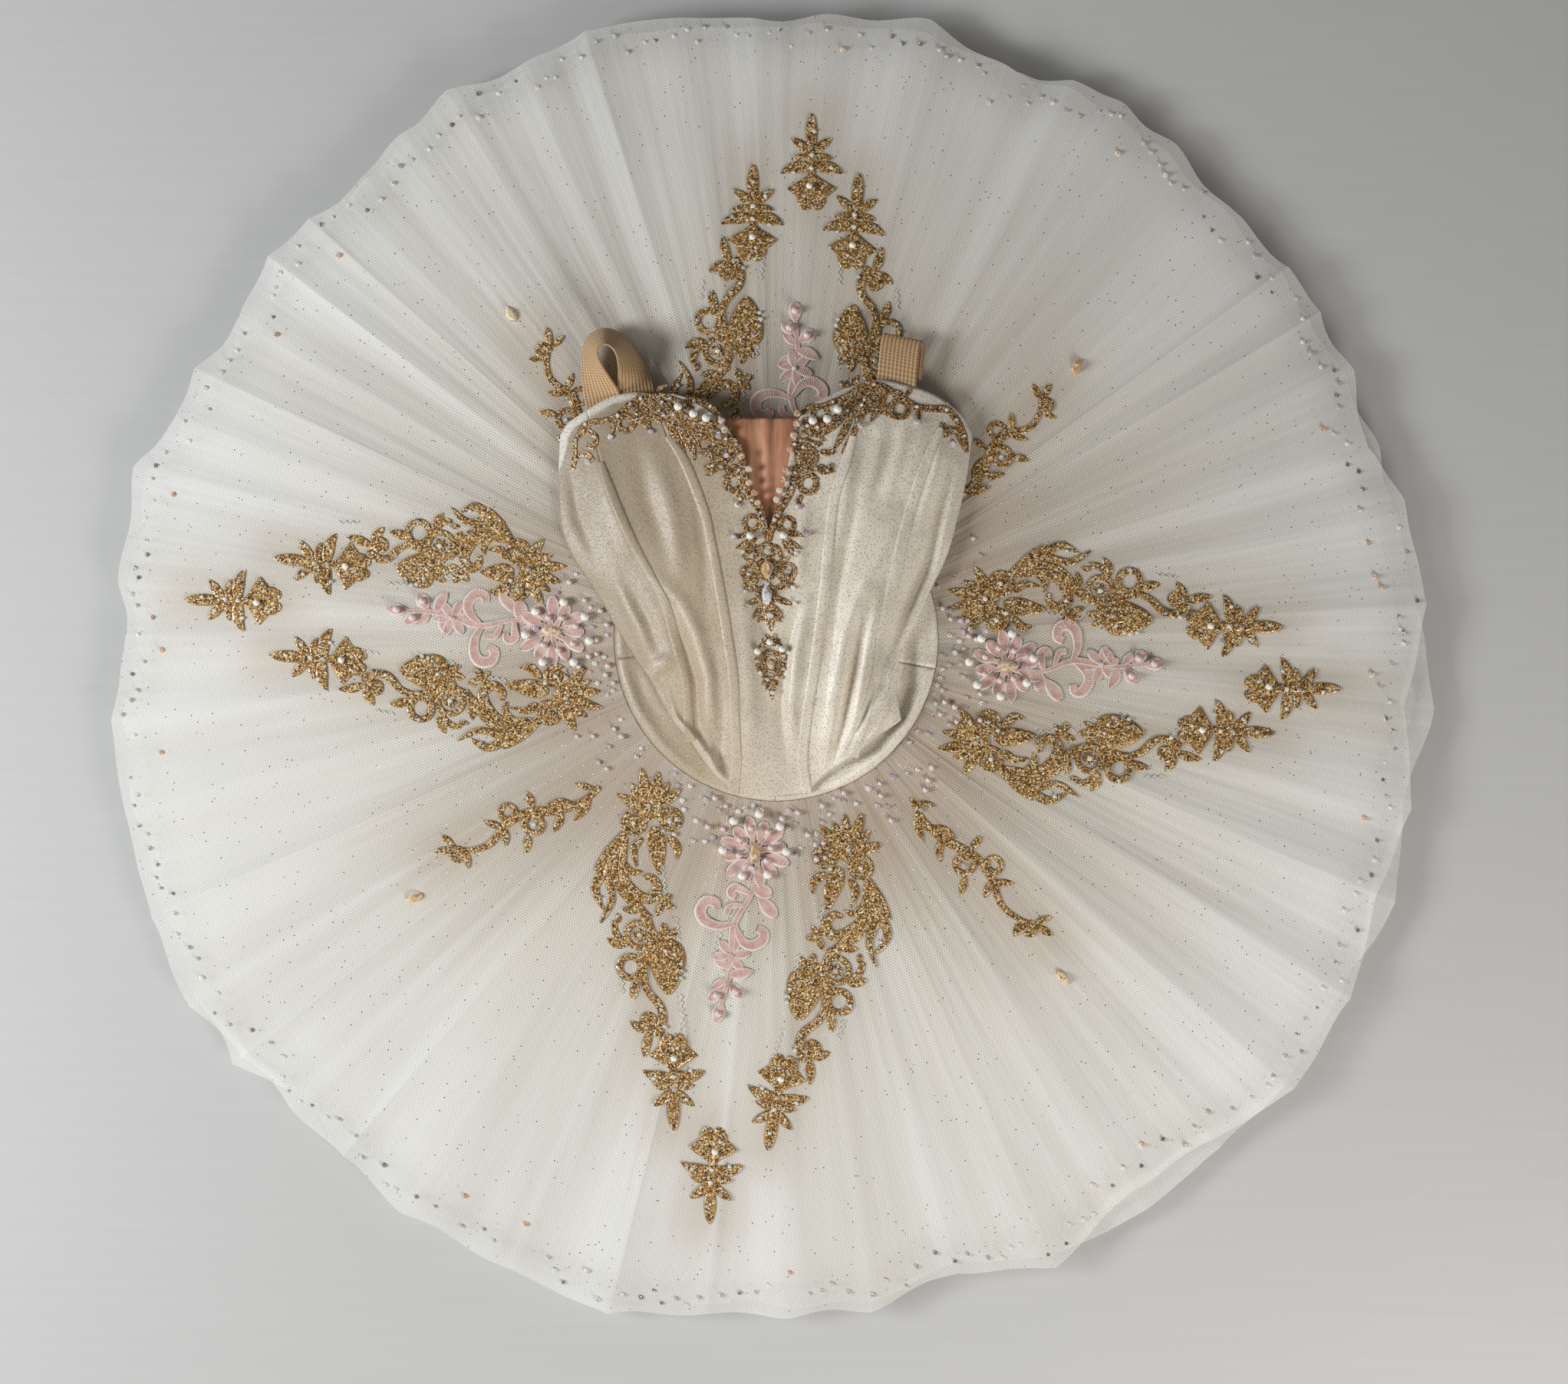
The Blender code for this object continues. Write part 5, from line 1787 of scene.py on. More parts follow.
@dataclass
class PlateLace:
    """Gold garlands, lilies and scrolls, and pink sprigs, sewn to the overlay."""

    form: PlateForm
    gems: GemBox
    cover: Cover = field(default_factory=Cover)
    bead_lift: float = 0.45

    def bead(self, gem: Gem, spray: Spray, along: float, aside: float, size: float,
             turn: float = 0.0, lift: float = 0.0) -> None:
        """Put a bead on a spray, unless the bodice hides its place."""
        x, y = spray.at(along, aside)
        if self.cover.hides(x, y, BEAD_MARGIN):
            return
        run = math.degrees(math.atan2(spray.end[1] - spray.start[1],
                                      spray.end[0] - spray.start[0]))
        height = self.form.lace(x, y) + self.bead_lift + lift
        self.gems.put(gem, x, y, height, size, run + turn * spray.side)

    def lily_beads(self, spray: Spray, base: float, aside: float) -> None:
        """Pearl in the bell and crystals down the leaves."""
        self.bead(Gem.PEARL, spray, base + 17, aside - 1.5, 5.0, lift=0.4)
        for along, beside, size in table("30 0 3.6/27 12 3/30 -14 3/39 0.4 3.8/47 9 3/10 3 2.8/"
                                         "56 0.5 2.8")[0]:
            self.bead(Gem.CLEAR, spray, base + along, aside + beside - along * 0.1, size,
                      lift=0.2)

    def garland_beads(self, spray: Spray) -> None:
        """Crystals on the drop, roses and stem of a garland."""
        s = garland_scale(spray.length)
        for along, aside, size in table(
                "27 -6 3.4/27 20 3.4/16 6 3.6/34 14 3.2/106 -10 4/129 17 3/134 17.5 3.2/139 16 3/"
                "122 13 3/119 7 2.8/128 -27 2.8/76 -35 2.6/80 0 2.8/172 1 3.2/160 0 2.6")[0]:
            self.bead(Gem.CLEAR, spray, along * s, aside, size, lift=0.3)
        self.lily_beads(spray, spray.length - LILY_LENGTH, LILY_ASIDE)

    def sprig_beads(self, spray: Spray) -> None:
        """Navette, pearls and small stones of a pink sprig."""
        s = spray.length / SPRIG_LENGTH
        self.bead(Gem.NAVETTE, spray, 4.4, -1.0, 15.0, lift=0.6)
        self.bead(Gem.LILAC, spray, 15.4, -1.0, 5.2)
        pearls, pink, buds = (row[0] for row in table("""
-14.6,18.3 -23.1,1.8 -17.5,-14.4 -1.1,-22.4 17.5,-12.9 22.1,4.4 7.1,21.6
-12,5.4 -12,-7 -2.5,11.5 -1.4,-11.2 8.5,9.6 8,-10
103,-8 108.5,4.5 121,0.6
"""))
        for along, aside in pearls:
            self.bead(Gem.PEARL, spray, along, aside, 6.4)
        for along, aside in pink:
            self.bead(Gem.PINK_PEARL, spray, along, aside, 4.6, lift=0.2)
        self.bead(Gem.LILAC, spray, 78.6 * s, 0.5, 3.8, lift=0.3)
        for along, aside in buds:
            self.bead(Gem.PINK_PEARL, spray, along * s, aside, 5.6)

    def threads(self) -> Piece:
        """Make the loose wavy threads that the lace was drawn with."""
        builder = LaceBuilder(self.form.lace, self.cover.hides)
        for spray in GARLANDS + SPRIGS[:3]:
            for start, aside, size in ((58, 11, 26), (96, 17, 16), (150, 14, 34),
                                       (132, -26, 14)):
                if start + size > spray.length - 40:
                    continue
                count = round(size / 2.2)
                path = tuple((start + size * step / count, aside + (1.1 if step % 2 else -1.1))
                             for step in range(count + 1))
                builder.add(Stroke(path, (0.75, 0.75), 1.0, count * 2), spray.at)
        return make_piece(builder.finish(), "lace_threads", THREAD,
                          Slot.GOLD_LACE, outwards=False)

    def build(self) -> list[Piece]:
        """Make every spray and put its beads."""
        made = []
        for sprays, draw, put, finish, slot in (
                (GARLANDS, garland, self.garland_beads, GOLD_LACE, Slot.GOLD_LACE),
                (TIP_LILIES, lambda length: lily(),
                 lambda spray: self.lily_beads(spray, 0.0, 3.0), GOLD_LACE, Slot.GOLD_LACE),
                (SPRIGS, sprig, self.sprig_beads, PINK_LACE, Slot.PINK_LACE),
                (SCROLLS, small_scroll,
                 lambda spray: self.bead(Gem.CLEAR, spray, spray.length * 0.43, 5, 3.2),
                 GOLD_LACE, Slot.GOLD_LACE)):
            for spray in sprays:
                made.append(lay_lace(spray.name, draw(spray.length), self.form.lace, spray.at,
                                     finish, slot, hidden=self.cover.hides))
                put(spray)
        return made + [self.threads()]


@dataclass
class PlateStones:
    """Stones glued to the net: round the hem, round the hip and four navettes."""

    form: PlateForm
    gems: GemBox
    hem_step: float = 1.4
    hip_count: int = 130
    hem_seed: int = 21
    hip_seed: int = 5
    navettes: tuple[tuple[float, float, float], ...] = (
        (-187, 229, -62), (212, 192, 62), (-255, -182, 22), (202, -238, -52))

    def put(self, gem: Gem, x: float, y: float, size: float, turn: float = 0.0) -> None:
        """Put a stone on the overlay."""
        self.gems.put(gem, x, y, self.form.top(x, y), size, turn)

    def hem(self) -> None:
        """Two loose rows of stones inside the rim."""
        dice = random.Random(self.hem_seed)
        angle = 0.0
        while angle < 360.0:
            angle += self.hem_step * dice.uniform(0.55, 1.45)
            pleat, after, share = pleat_at(angle)
            large = dice.random() < 0.12
            radius = (lerp(pleat.reach, after.reach, share) - LOBE_DIP
                      - (dice.uniform(17, 32) if large else dice.uniform(5, 20)))
            x = radius * math.cos(math.radians(angle))
            y = radius * math.sin(math.radians(angle))
            if large:
                self.put(Gem.TOPAZ, x, y, dice.uniform(4.0, 4.8))
            else:
                self.put(Gem.HEM, x, y, dice.uniform(3.0, 4.0))

    def hip(self) -> None:
        """Small stones and pearls strewn outside the hip ring, closest at the sprigs."""
        dice = random.Random(self.hip_seed)
        cover = Cover()
        taken: list[Point] = []
        focus = [math.atan2(spray.start[1], spray.start[0]) for spray in SPRIGS]
        while len(taken) < self.hip_count:
            angle = dice.uniform(-math.pi, math.pi)
            near = min(abs(math.remainder(angle - other, math.tau)) for other in focus)
            if dice.random() > math.exp(-near / 0.5) + 0.10:
                continue
            radius = 118.0 + 40.0 * dice.random() ** 1.2
            x, y = radius * math.cos(angle), radius * math.sin(angle)
            crowded = any(math.dist((x, y), other) < 4.8 for other in taken)
            flowers = min(math.dist((x, y), spray.at(*SPRIG_MIDDLE)) for spray in SPRIGS)
            garlands = min(spray.away(x, y) for spray in GARLANDS)
            if crowded or flowers < 27.0 or garlands < 19.0 or cover.hides(x, y, BEAD_MARGIN):
                continue
            taken.append((x, y))
            gem = dice.choice((Gem.LILAC, Gem.LILAC, Gem.CLEAR, Gem.PINK_PEARL))
            self.put(gem, x, y, dice.uniform(3.2, 4.4))

    def build(self) -> None:
        """Put all stones of the plate."""
        self.hem()
        self.hip()
        for x, y, turn in self.navettes:
            self.put(Gem.NAVETTE, x, y, 14.0, turn)


# ---------- basque and knickers


@dataclass
class Basque:
    """The fitted band between the hip ring and the bodice's hem, in four pieces."""

    pieces: tuple[tuple[str, float, float], ...] = (
        ("basque_front_right", -90.0, -10.4), ("basque_back_right", -10.4, 90.0),
        ("basque_back_left", 90.0, 186.9), ("basque_front_left", 186.9, 270.0))
    columns: int = 60
    rows: int = 18
    wall: float = 1.5
    gap: float = 0.02
    creases: tuple[Crease, ...] = tuple(Crease(path, *sizes) for path, sizes in table("""
110,-14 104,-36 94,-58 76,-79 52,-95 26,-108 / 6 5 4.4
96,8 94,-14 92,-32 84,-52 74,-66 / 7 6 -4
104,24 108,2 106,-16 / 5 5 -1.2
-112,12 -108,-24 -98,-50 -80,-76 -54,-98 / 5 6 2
-100,-22 -92,-42 -80,-58 / 4 5 -1.6
-36,-107 0,-112 24,-110 / 3 3 1
"""))

    def height(self, x: float, y: float) -> float:
        """Height of the band, with soft drag lines that run round it."""
        radius, angle = math.hypot(x, y), math.atan2(y, x)
        base = BASQUE_HEIGHT + BASQUE_SLOPE * (HIP_RADIUS - radius)
        drag = math.sin(angle * 5.0 + radius * 0.16) * 0.4 + math.sin(angle * 13.0) * 0.2
        drag += sum(crease.lift(x, y) for crease in self.creases)
        return base + drag * smooth_step(HIP_RADIUS, HIP_RADIUS - 6.0, radius)

    def build(self) -> list[Piece]:
        """Make and dress the four pieces."""
        made = []
        deep = HIP_RADIUS - BASQUE_INNER
        gap = math.degrees(self.gap / BASQUE_INNER)
        for name, start, end in self.pieces:
            low, high = math.radians(start + gap), math.radians(end - gap)
            bm = bmesh.new()
            for corner, column, row in grid_corners(bm, self.columns, self.rows):
                radius = BASQUE_INNER + deep * row / self.rows
                angle = low + (high - low) * column / self.columns
                x, y = radius * math.cos(angle), radius * math.sin(angle)
                tuck = 1.4 * smooth_step(HIP_RADIUS - 2.2, HIP_RADIUS, radius)
                corner.co = (x, y, self.height(x, y) - tuck)
            # crease marks for painted highlight and painted shade
            mark_crease_shading(bm, self.creases)
            piece = make_piece(bm, "velvet_" + name, VELVET, Slot.VELVET, (name,))
            give_wall(piece, self.wall)
            made.append(piece)
        return made


CENTRE_DROP = """
run -11,94 -9,84 -7,74 -6.5,68 / 3 4.4 4.4 3 / 1.2 14
run 2,94 -1,82 -4,74 -5,68 / 3 4.4 4.4 3 / 1.2 14
ring -17,80.5 5.2 3.6 1 0 -60
ring 7.6,79.5 5 3.6
leaf -12,76 200 18 4.6
leaf 1,76 -14 20 4.6
leaf -13,70 206 17 5.6
leaf -14,66 224 14 5.2
leaf -11,66 248 12 4.4
leaf 4,70 -28 16 5.2
leaf 4,68 -48 15 5
leaf 0,66 -70 12 4.4
ring -6,61.5 4.8 3.2
run -6,57 -6,53 / 4 6 / 1.2 4
ring -6.3,48.6 7 3.2
ring -19,45.5 4.8 3
ring 8.6,47 4.8 3
leaf -12,50 150 12 4.6
leaf 0,51 32 12 4.6
leaf -12,42 216 13 4.8
leaf 1,43 -38 13 4.8
petal -19,45.5 250 8 5
petal 8.6,47 -70 8 5
ring -6.4,30.6 6.2 3.2
leaf -10,34 166 15 5.4
leaf -2,35 12 16 5.4
leaf -10,28 204 14 5
leaf -2,29 -22 15 5
leaf -9,24 236 13 4.6
leaf -3,24 -52 13 4.6
run -6,25 -5,19 -4,12 -3.5,5 / 6 8 6 0.8 / 1.3 10
leaf -5,17 214 10 4
leaf -4,17 -34 10 4
"""


MEDALLION = """
ring 0,0 10.4 3.8
ring 0,-1 5.8 3.4
run -2.4,-1 2.4,-1 / 3 5 3 / 1.2
leaf 0,-9 -142 9 4.2
leaf 0,-9 -114 9 4.2
leaf 0,-9 -66 9 4.2
leaf 0,-9 -38 9 4.2
leaf 0,8 28 8 4.6
leaf 0,8 60 8 4.6
leaf 0,8 120 8 4.6
leaf 0,8 152 8 4.6
leaf 0,2 15 9 3.6
leaf 0,2 165 9 3.6
run 0,-10 0.4,-17 0.8,-22 / 4 4.4 0.8 / 1.2 8
"""


@dataclass
class Knickers:
    """Knickers crushed flat under the plate."""

    profile: tuple[Point, ...] = ((0.0, 55.8), (40.0, 55.9), (70.0, 55.7), (79.0, 55.2),
                                  (92.0, 52.6), (106.0, 49.6), (111.5, 46.5), (113.2, 39.0),
                                  (113.2, 14.0), (109.0, 3.5), (101.0, 0.1), (60.0, 0.1),
                                  (0.0, 0.1))
    steps: int = 64

    def build(self) -> Piece:
        """Make and dress the heap, with crumples on its upper side."""
        bm = bmesh.new()
        corners = [bm.verts.new((radius, 0.0, height)) for radius, height in self.profile]
        edges = [bm.edges.new(pair) for pair in zip(corners, corners[1:])]
        bmesh.ops.spin(bm, geom=corners + edges, cent=(0, 0, 0), axis=(0, 0, 1),
                       angle=math.tau, steps=self.steps, use_merge=True)
        bmesh.ops.remove_doubles(bm, verts=bm.verts, dist=2.0 * WELD)
        bm.verts.layers.float.new("across")
        for corner in bm.verts:
            if corner.co.z > 8.0:
                angle = math.atan2(corner.co.y, corner.co.x)
                dent = math.sin(angle * 11.0) + math.sin(angle * 7.0 + corner.co.z * 0.3)
                corner.co.z -= 0.35 * (dent + 2.0)
        return make_piece(bm, "crushed_knickers", BACK_VELVET, Slot.NET_WHITE,
                          ("knickers",))


# ---------- the bodice


@dataclass(frozen=True)
class Panel:
    """A cut piece of the bodice: the sides of its patches, its flat size and its area.

    A patch has its left and right lines, the points of its lower and upper sides, and its
    columns.
    """

    name: str
    patches: tuple[tuple[Line, Line, tuple[Point, ...], tuple[Point, ...], int], ...]
    flat: Point
    area: float


@dataclass
class Bodice:
    """Boned velvet bodice that has fallen back over the plate."""

    form: BodiceForm
    rows: int = 132
    wall: float = 1.8
    v_share: float = 0.62
    trim_width: float = 5.6
    insert_under: float = 6.5
    insert_wall: float = 0.8

    def panels(self) -> list[Panel]:
        """The five panels that show, each inside its own lines."""
        inner_left, inner_right, outer_left, outer_right, side_left, side_right = map(
            even_line, (INNER_LEFT, INNER_RIGHT, OUTER_LEFT, OUTER_RIGHT, SIDE_LEFT, SIDE_RIGHT))
        neck_left, neck_right = (
            two_part_line(even_line(CENTRE), even_line(edge), self.v_share)
            for edge in (V_LEFT, V_RIGHT))
        return [
            Panel("centre_front", (
                (inner_left, neck_left, (INNER_LEFT[0], CENTRE[0]),
                 (INNER_LEFT[-1], V_LEFT[-1]), 22),
                (neck_right, inner_right, (CENTRE[0], INNER_RIGHT[0]),
                 (V_RIGHT[-1], INNER_RIGHT[-1]), 22)), (0.13, 0.31), 0.0165),
            Panel("side_front_left", ((outer_left, inner_left, HEM_LEFT[2::-1],
                                       TOP_FRONT_LEFT, 34),), (0.072, 0.30), 0.0125),
            Panel("side_front_right", ((inner_right, outer_right, HEM_RIGHT[:3],
                                        TOP_FRONT_RIGHT, 34),), (0.075, 0.30), 0.0130),
            Panel("side_left", ((side_left, outer_left, HEM_LEFT[:1:-1], TOP_SIDE_LEFT, 26),),
                  (0.058, 0.245), 0.0080),
            Panel("side_right", ((outer_right, side_right, HEM_RIGHT[2:], TOP_SIDE_RIGHT,
                                  26),), (0.050, 0.255), 0.0075),
        ]

    def build_panels(self) -> list[Piece]:
        """Make and dress the panels, with the pale tape of the upper edge marked."""
        made = []
        edges = [Crease(path, 1, 1, 1) for path in (
            SIDE_LEFT[6:] + TOP_SIDE_LEFT[1:] + TOP_FRONT_LEFT[1:] + V_LEFT[:4:-1],
            V_RIGHT[5:] + TOP_FRONT_RIGHT + TOP_SIDE_RIGHT[1:] + SIDE_RIGHT[-2:6:-1])]
        for panel in self.panels():
            bm = bmesh.new()
            trim = bm.verts.layers.float.new("trim")
            for left, right, bottom, top, columns in panel.patches:
                add_patch(bm, left, right, even_line(bottom), even_line(top), columns,
                          self.rows, self.form.height)
            bmesh.ops.remove_doubles(bm, verts=bm.verts, dist=PATCH_WELD)
            # crease marks for painted highlight and painted shade
            mark_crease_shading(bm, CREASES)
            for corner in bm.verts:
                if corner.co.y > 96.0:
                    away = min(edge.nearest(corner.co.x, corner.co.y)[0] for edge in edges)
                    wide = self.trim_width * smooth_step(112.0, 140.0, corner.co.y)
                    corner[trim] = smooth_step(0.5, -1.0, away - wide)
            piece = make_piece(face_up(bm), "velvet_" + panel.name, VELVET,
                               Slot.VELVET, ("bodice_" + panel.name,), outwards=False)
            give_wall(piece, self.wall)
            made.append(piece)
        return made

    def build_casings(self) -> list[Piece]:
        """Make and dress the four sewn channels for the bones, on the seams."""
        made = []
        for name, line in (("casing_inner_left", INNER_LEFT[:10]),
                           ("casing_outer_left", OUTER_LEFT[:9]),
                           ("casing_inner_right", INNER_RIGHT[:10]),
                           ("casing_outer_right", OUTER_RIGHT[:10])):
            builder = LaceBuilder(lambda x, y: self.form.height(x, y) - 0.25)
            builder.across = (-1.0, -0.93, -0.80, -0.5, 0.0, 0.5, 0.80, 0.93, 1.0)
            builder.heights = (0.0, 0.12, 0.78, 1.05, 1.15, 1.05, 0.78, 0.12, 0.0)
            builder.add(Stroke(line, (CASING_WIDTH,) * 9 + (CASING_WIDTH * 0.6,), 1.1, 120),
                        as_drawn)
            made.append(make_piece(builder.finish(), "velvet_" + name, VELVET,
                                   Slot.VELVET, (name,), outwards=False))
        return made

    def insert_height(self, x: float, y: float) -> float:
        """Height of the nude insert, with its soft folds down the middle."""
        off = x + 4.5 + 0.03 * (y - 70.0)
        folds = sum(rise * math.exp(-((off + aside) / half) ** 2) for rise, aside, half in (
            (1.6, 0.0, 2.6), (-1.5, 7.0, 3.6), (-0.7, -6.0, 3.4), (0.9, 15.0, 4.4)))
        return self.form.plain(x, y) - INSERT_DEPTH - 0.8 + folds * (y - 64.0) / 90.0

    def build_insert(self) -> Piece:
        """Make and dress the nude insert behind the neckline's V."""
        left, right = (
            even_line([(x + aside, y) for x, y in edge if y < INSERT_TOP] + [(end, INSERT_TOP)])
            for edge, aside, end in ((V_LEFT, -self.insert_under, -46.0),
                                     (V_RIGHT, self.insert_under, 24.0)))
        bm = bmesh.new()
        add_patch(bm, left, right, even_line((left(0.0), right(0.0))),
                  even_line((left(1.0), right(1.0))), 40, 40, self.insert_height)
        piece = make_piece(bm, "satin_insert", SATIN, Slot.NUDE_SATIN,
                           ("insert",))
        give_wall(piece, self.insert_wall)
        return piece

    def build_back(self) -> Piece:
        """Make and dress the back of the bodice, folded under: one rounded form."""
        inside, count, columns = 0.93, 30, 24
        low, high = -54.0, 146.0
        bm = bmesh.new()
        for corner, column, row in grid_corners(bm, columns, count):
            y = low + (high - low) * row / count
            cosine = math.cos(math.tau * column / columns)
            sine = math.sin(math.tau * column / columns)
            left, right = self.form.left(y) * inside, self.form.right(y) * inside
            x = ((left + right) / 2.0
                 + (right - left) / 2.0 * math.copysign(abs(cosine) ** 0.8, cosine))
            bottom = self.form.support(math.hypot(x, y)) + 0.8
            top = max(self.form.plain(x, y) - 6.4, bottom + 0.4)
            share = 0.5 + 0.5 * math.copysign(abs(sine) ** 0.6, sine)
            corner.co = (x, y, lerp(bottom, top, share))
        bmesh.ops.remove_doubles(bm, verts=bm.verts, dist=PATCH_WELD)
        bmesh.ops.holes_fill(bm, edges=[edge for edge in bm.edges if edge.is_boundary],
                             sides=0)
        return make_piece(bm, "velvet_back", BACK_VELVET, Slot.VELVET,
                          ("bodice_back",))

    def build(self) -> list[Piece]:
        """Make every piece of the bodice."""
        return [*self.build_panels(), *self.build_casings(), self.build_insert(),
                self.build_back()]


# Cords of the two halves: points / width.
NECK_CORDS = (table("""
-143,119 -141,127 -135,130 -128,125 / 3.6
-141,129 -141,140 -134,146 -127,142 -128,135 -133,136 / 3.4
-139,143 -134,151 -119,153.5 -111,157 -102,165 -95,169 -85,171 / 3.8
-110,157 -114,150 -115,144 / 3
-103,146 -97,152 -91,150 -88,146 / 3.2
-86,171 -80,166 -72,157 -60,150.5 -46,145 -35,140 -27.5,136 -24.3,127 -22.3,117 \
-21,108 -16.7,97 -11,88 -9.4,78 / 4.6
-88,160 -79,157 -72,152 -66,150 / 6.5
-82,172 -74,169 -66,166 -57,167 -46,163 -39.5,155 -43,150 / 3.6
-74,163 -63,156 -52,151 -44,149 / 3
-57,143 -48,140 -42,137 / 4.6
-50,119 -44,121 -38,120 -31,117 / 4
-45,124 -47,132 -43,137 / 3
-28,102.5 -25,98 -26.5,95 / 3.2
-98,171 -90,166 -82,160 -75,155 / 5
-100,158 -94,154 -86,156 -80,152 / 4.6
-70,168 -64,164 -58,161 / 3.4
-56,154 -48,149 -40,144 -33,141 / 3.6
-31,121 -26,118 -24,112 / 3.4
-42,137 -33,137 -28,131 / 3.4
"""), table("""
18,158 24,163 32,163 40,166 49,170 58,175.5 69,178.6 79,175.5 83,170 / 3.8
14,152 14,144 13,136 15.5,127 13.5,116 11,105.5 8,98 1.5,86 -1.6,76 / 4
88,170 99,163 110,161.5 120,161 127,154 132.5,143 134,131 / 4.2
117,151.5 119,146 126,146 131,139 133,133 / 4.6
20,155 22,149 29,148 38,152 43,157 / 4
44,161 52,165 60,164 64,158 / 6
62,166 68,160 76,160 82,156 / 5
20,140 26,136 32,137 / 4
30,121 36,118 40,122 / 3.6
31,131 37,130 41,132 / 3.6
18,100 15.5,96 16,92 / 3.2
56,173 62,168 70,163 78,164 / 4.6
46,167 50,160 57,157 64,160 / 4.6
76,173 84,173 92,169 / 3.6
18,147 24,144 30,143 36,147 / 3.8
15,120 20,117 28,119 34,116 / 3.8
13,137 19,134 25,136 / 3.4
"""))
# Rings of the two halves: x, y, radius and cord.
NECK_RINGS = (entries("""
-105.5 151 6.6 3.8 / -92 163 8.2 3.2 / -36 129.5 7.2 3.6 / -29.6 109.5 7.2 3.6 / -51 130 1.8 3
-77 162 4.2 3.4
"""), entries("""
86.5 161.5 7.4 3.6 / 31 157.5 6.4 3.2 / 22.7 127 6.8 3.6 / 22.5 108 7.6 3.6 / 70 171 7.6 3.6
56 170 4.6 3.4
"""))
# Leaves of the two halves: root, tip and width.
NECK_LEAVES = (entries("""
-78 153 -63 128.5 4.6 / -71 153 -57.5 127 5 / -65 151.5 -53 133 4.4 / -61 142 -57 124 3.6
-43 147 -47 154 4 / -40 121 -49 114 3.8 / -33 117 -38 111 3.2 / -96 157 -88 150 4.4 / -28 102 -21 97 3
-137 132 -128 126 3.4 / -84 174 -76 178 3.4 / -36 143 -30 147 3.2
"""), entries("""
54 161 40 131.5 4.8 / 59 155 45.5 129 4.6 / 50 160 33 142 4.6 / 36 150 22 141 4.4 / 24 147 34 138 3.8
62 158 50 141 4 / 97 163 101 152 4 / 92 170 96 177 3.4 / 24 136 16 141 3.6 / 60 177 55 184 3.4
66 178 64 185 3 / 70 162 66 152 3.6 / 31 115 41 117 3.6 / 121 147 118 141 3.4
"""))
# Roses of the two halves: x, y and radius.
NECK_ROSES = (((-92, 163, 4.2), (-36, 129.5, 3.4)), ((70, 171, 4.0), (22.7, 127, 3.2)))
# Places of the pearls, of the copper stones and of the lilac drops.
NECK_PEARLS, NECK_COPPER, NECK_DROPS = entries(
    "-68.7,162.7 -58,157.6 -49,154.4 43.2,160.6 35.8,153.8 25.6,152.6 / "
    "-37,152.6 -35,146.4 -23.1,127.8 -17.9,118.6 -17.7,109.3 -14,102 -11.6,95.2 13.8,158 "
    "13.5,150.3 11.5,142.5 9,132.5 6,118.3 4.2,111.6 1.6,103.7 -0.6,97.2 / "
    "-115.9,141.8 -87.6,145.2 -132.2,124.4 -34.5,128.3 -40.1,141.8 -35.5,146.4 -26.8,93.6 "
    "58.9,149.5 99.1,152.6 124.6,137.1 15.9,92.3 -29.6,71.5 20.6,73.6")


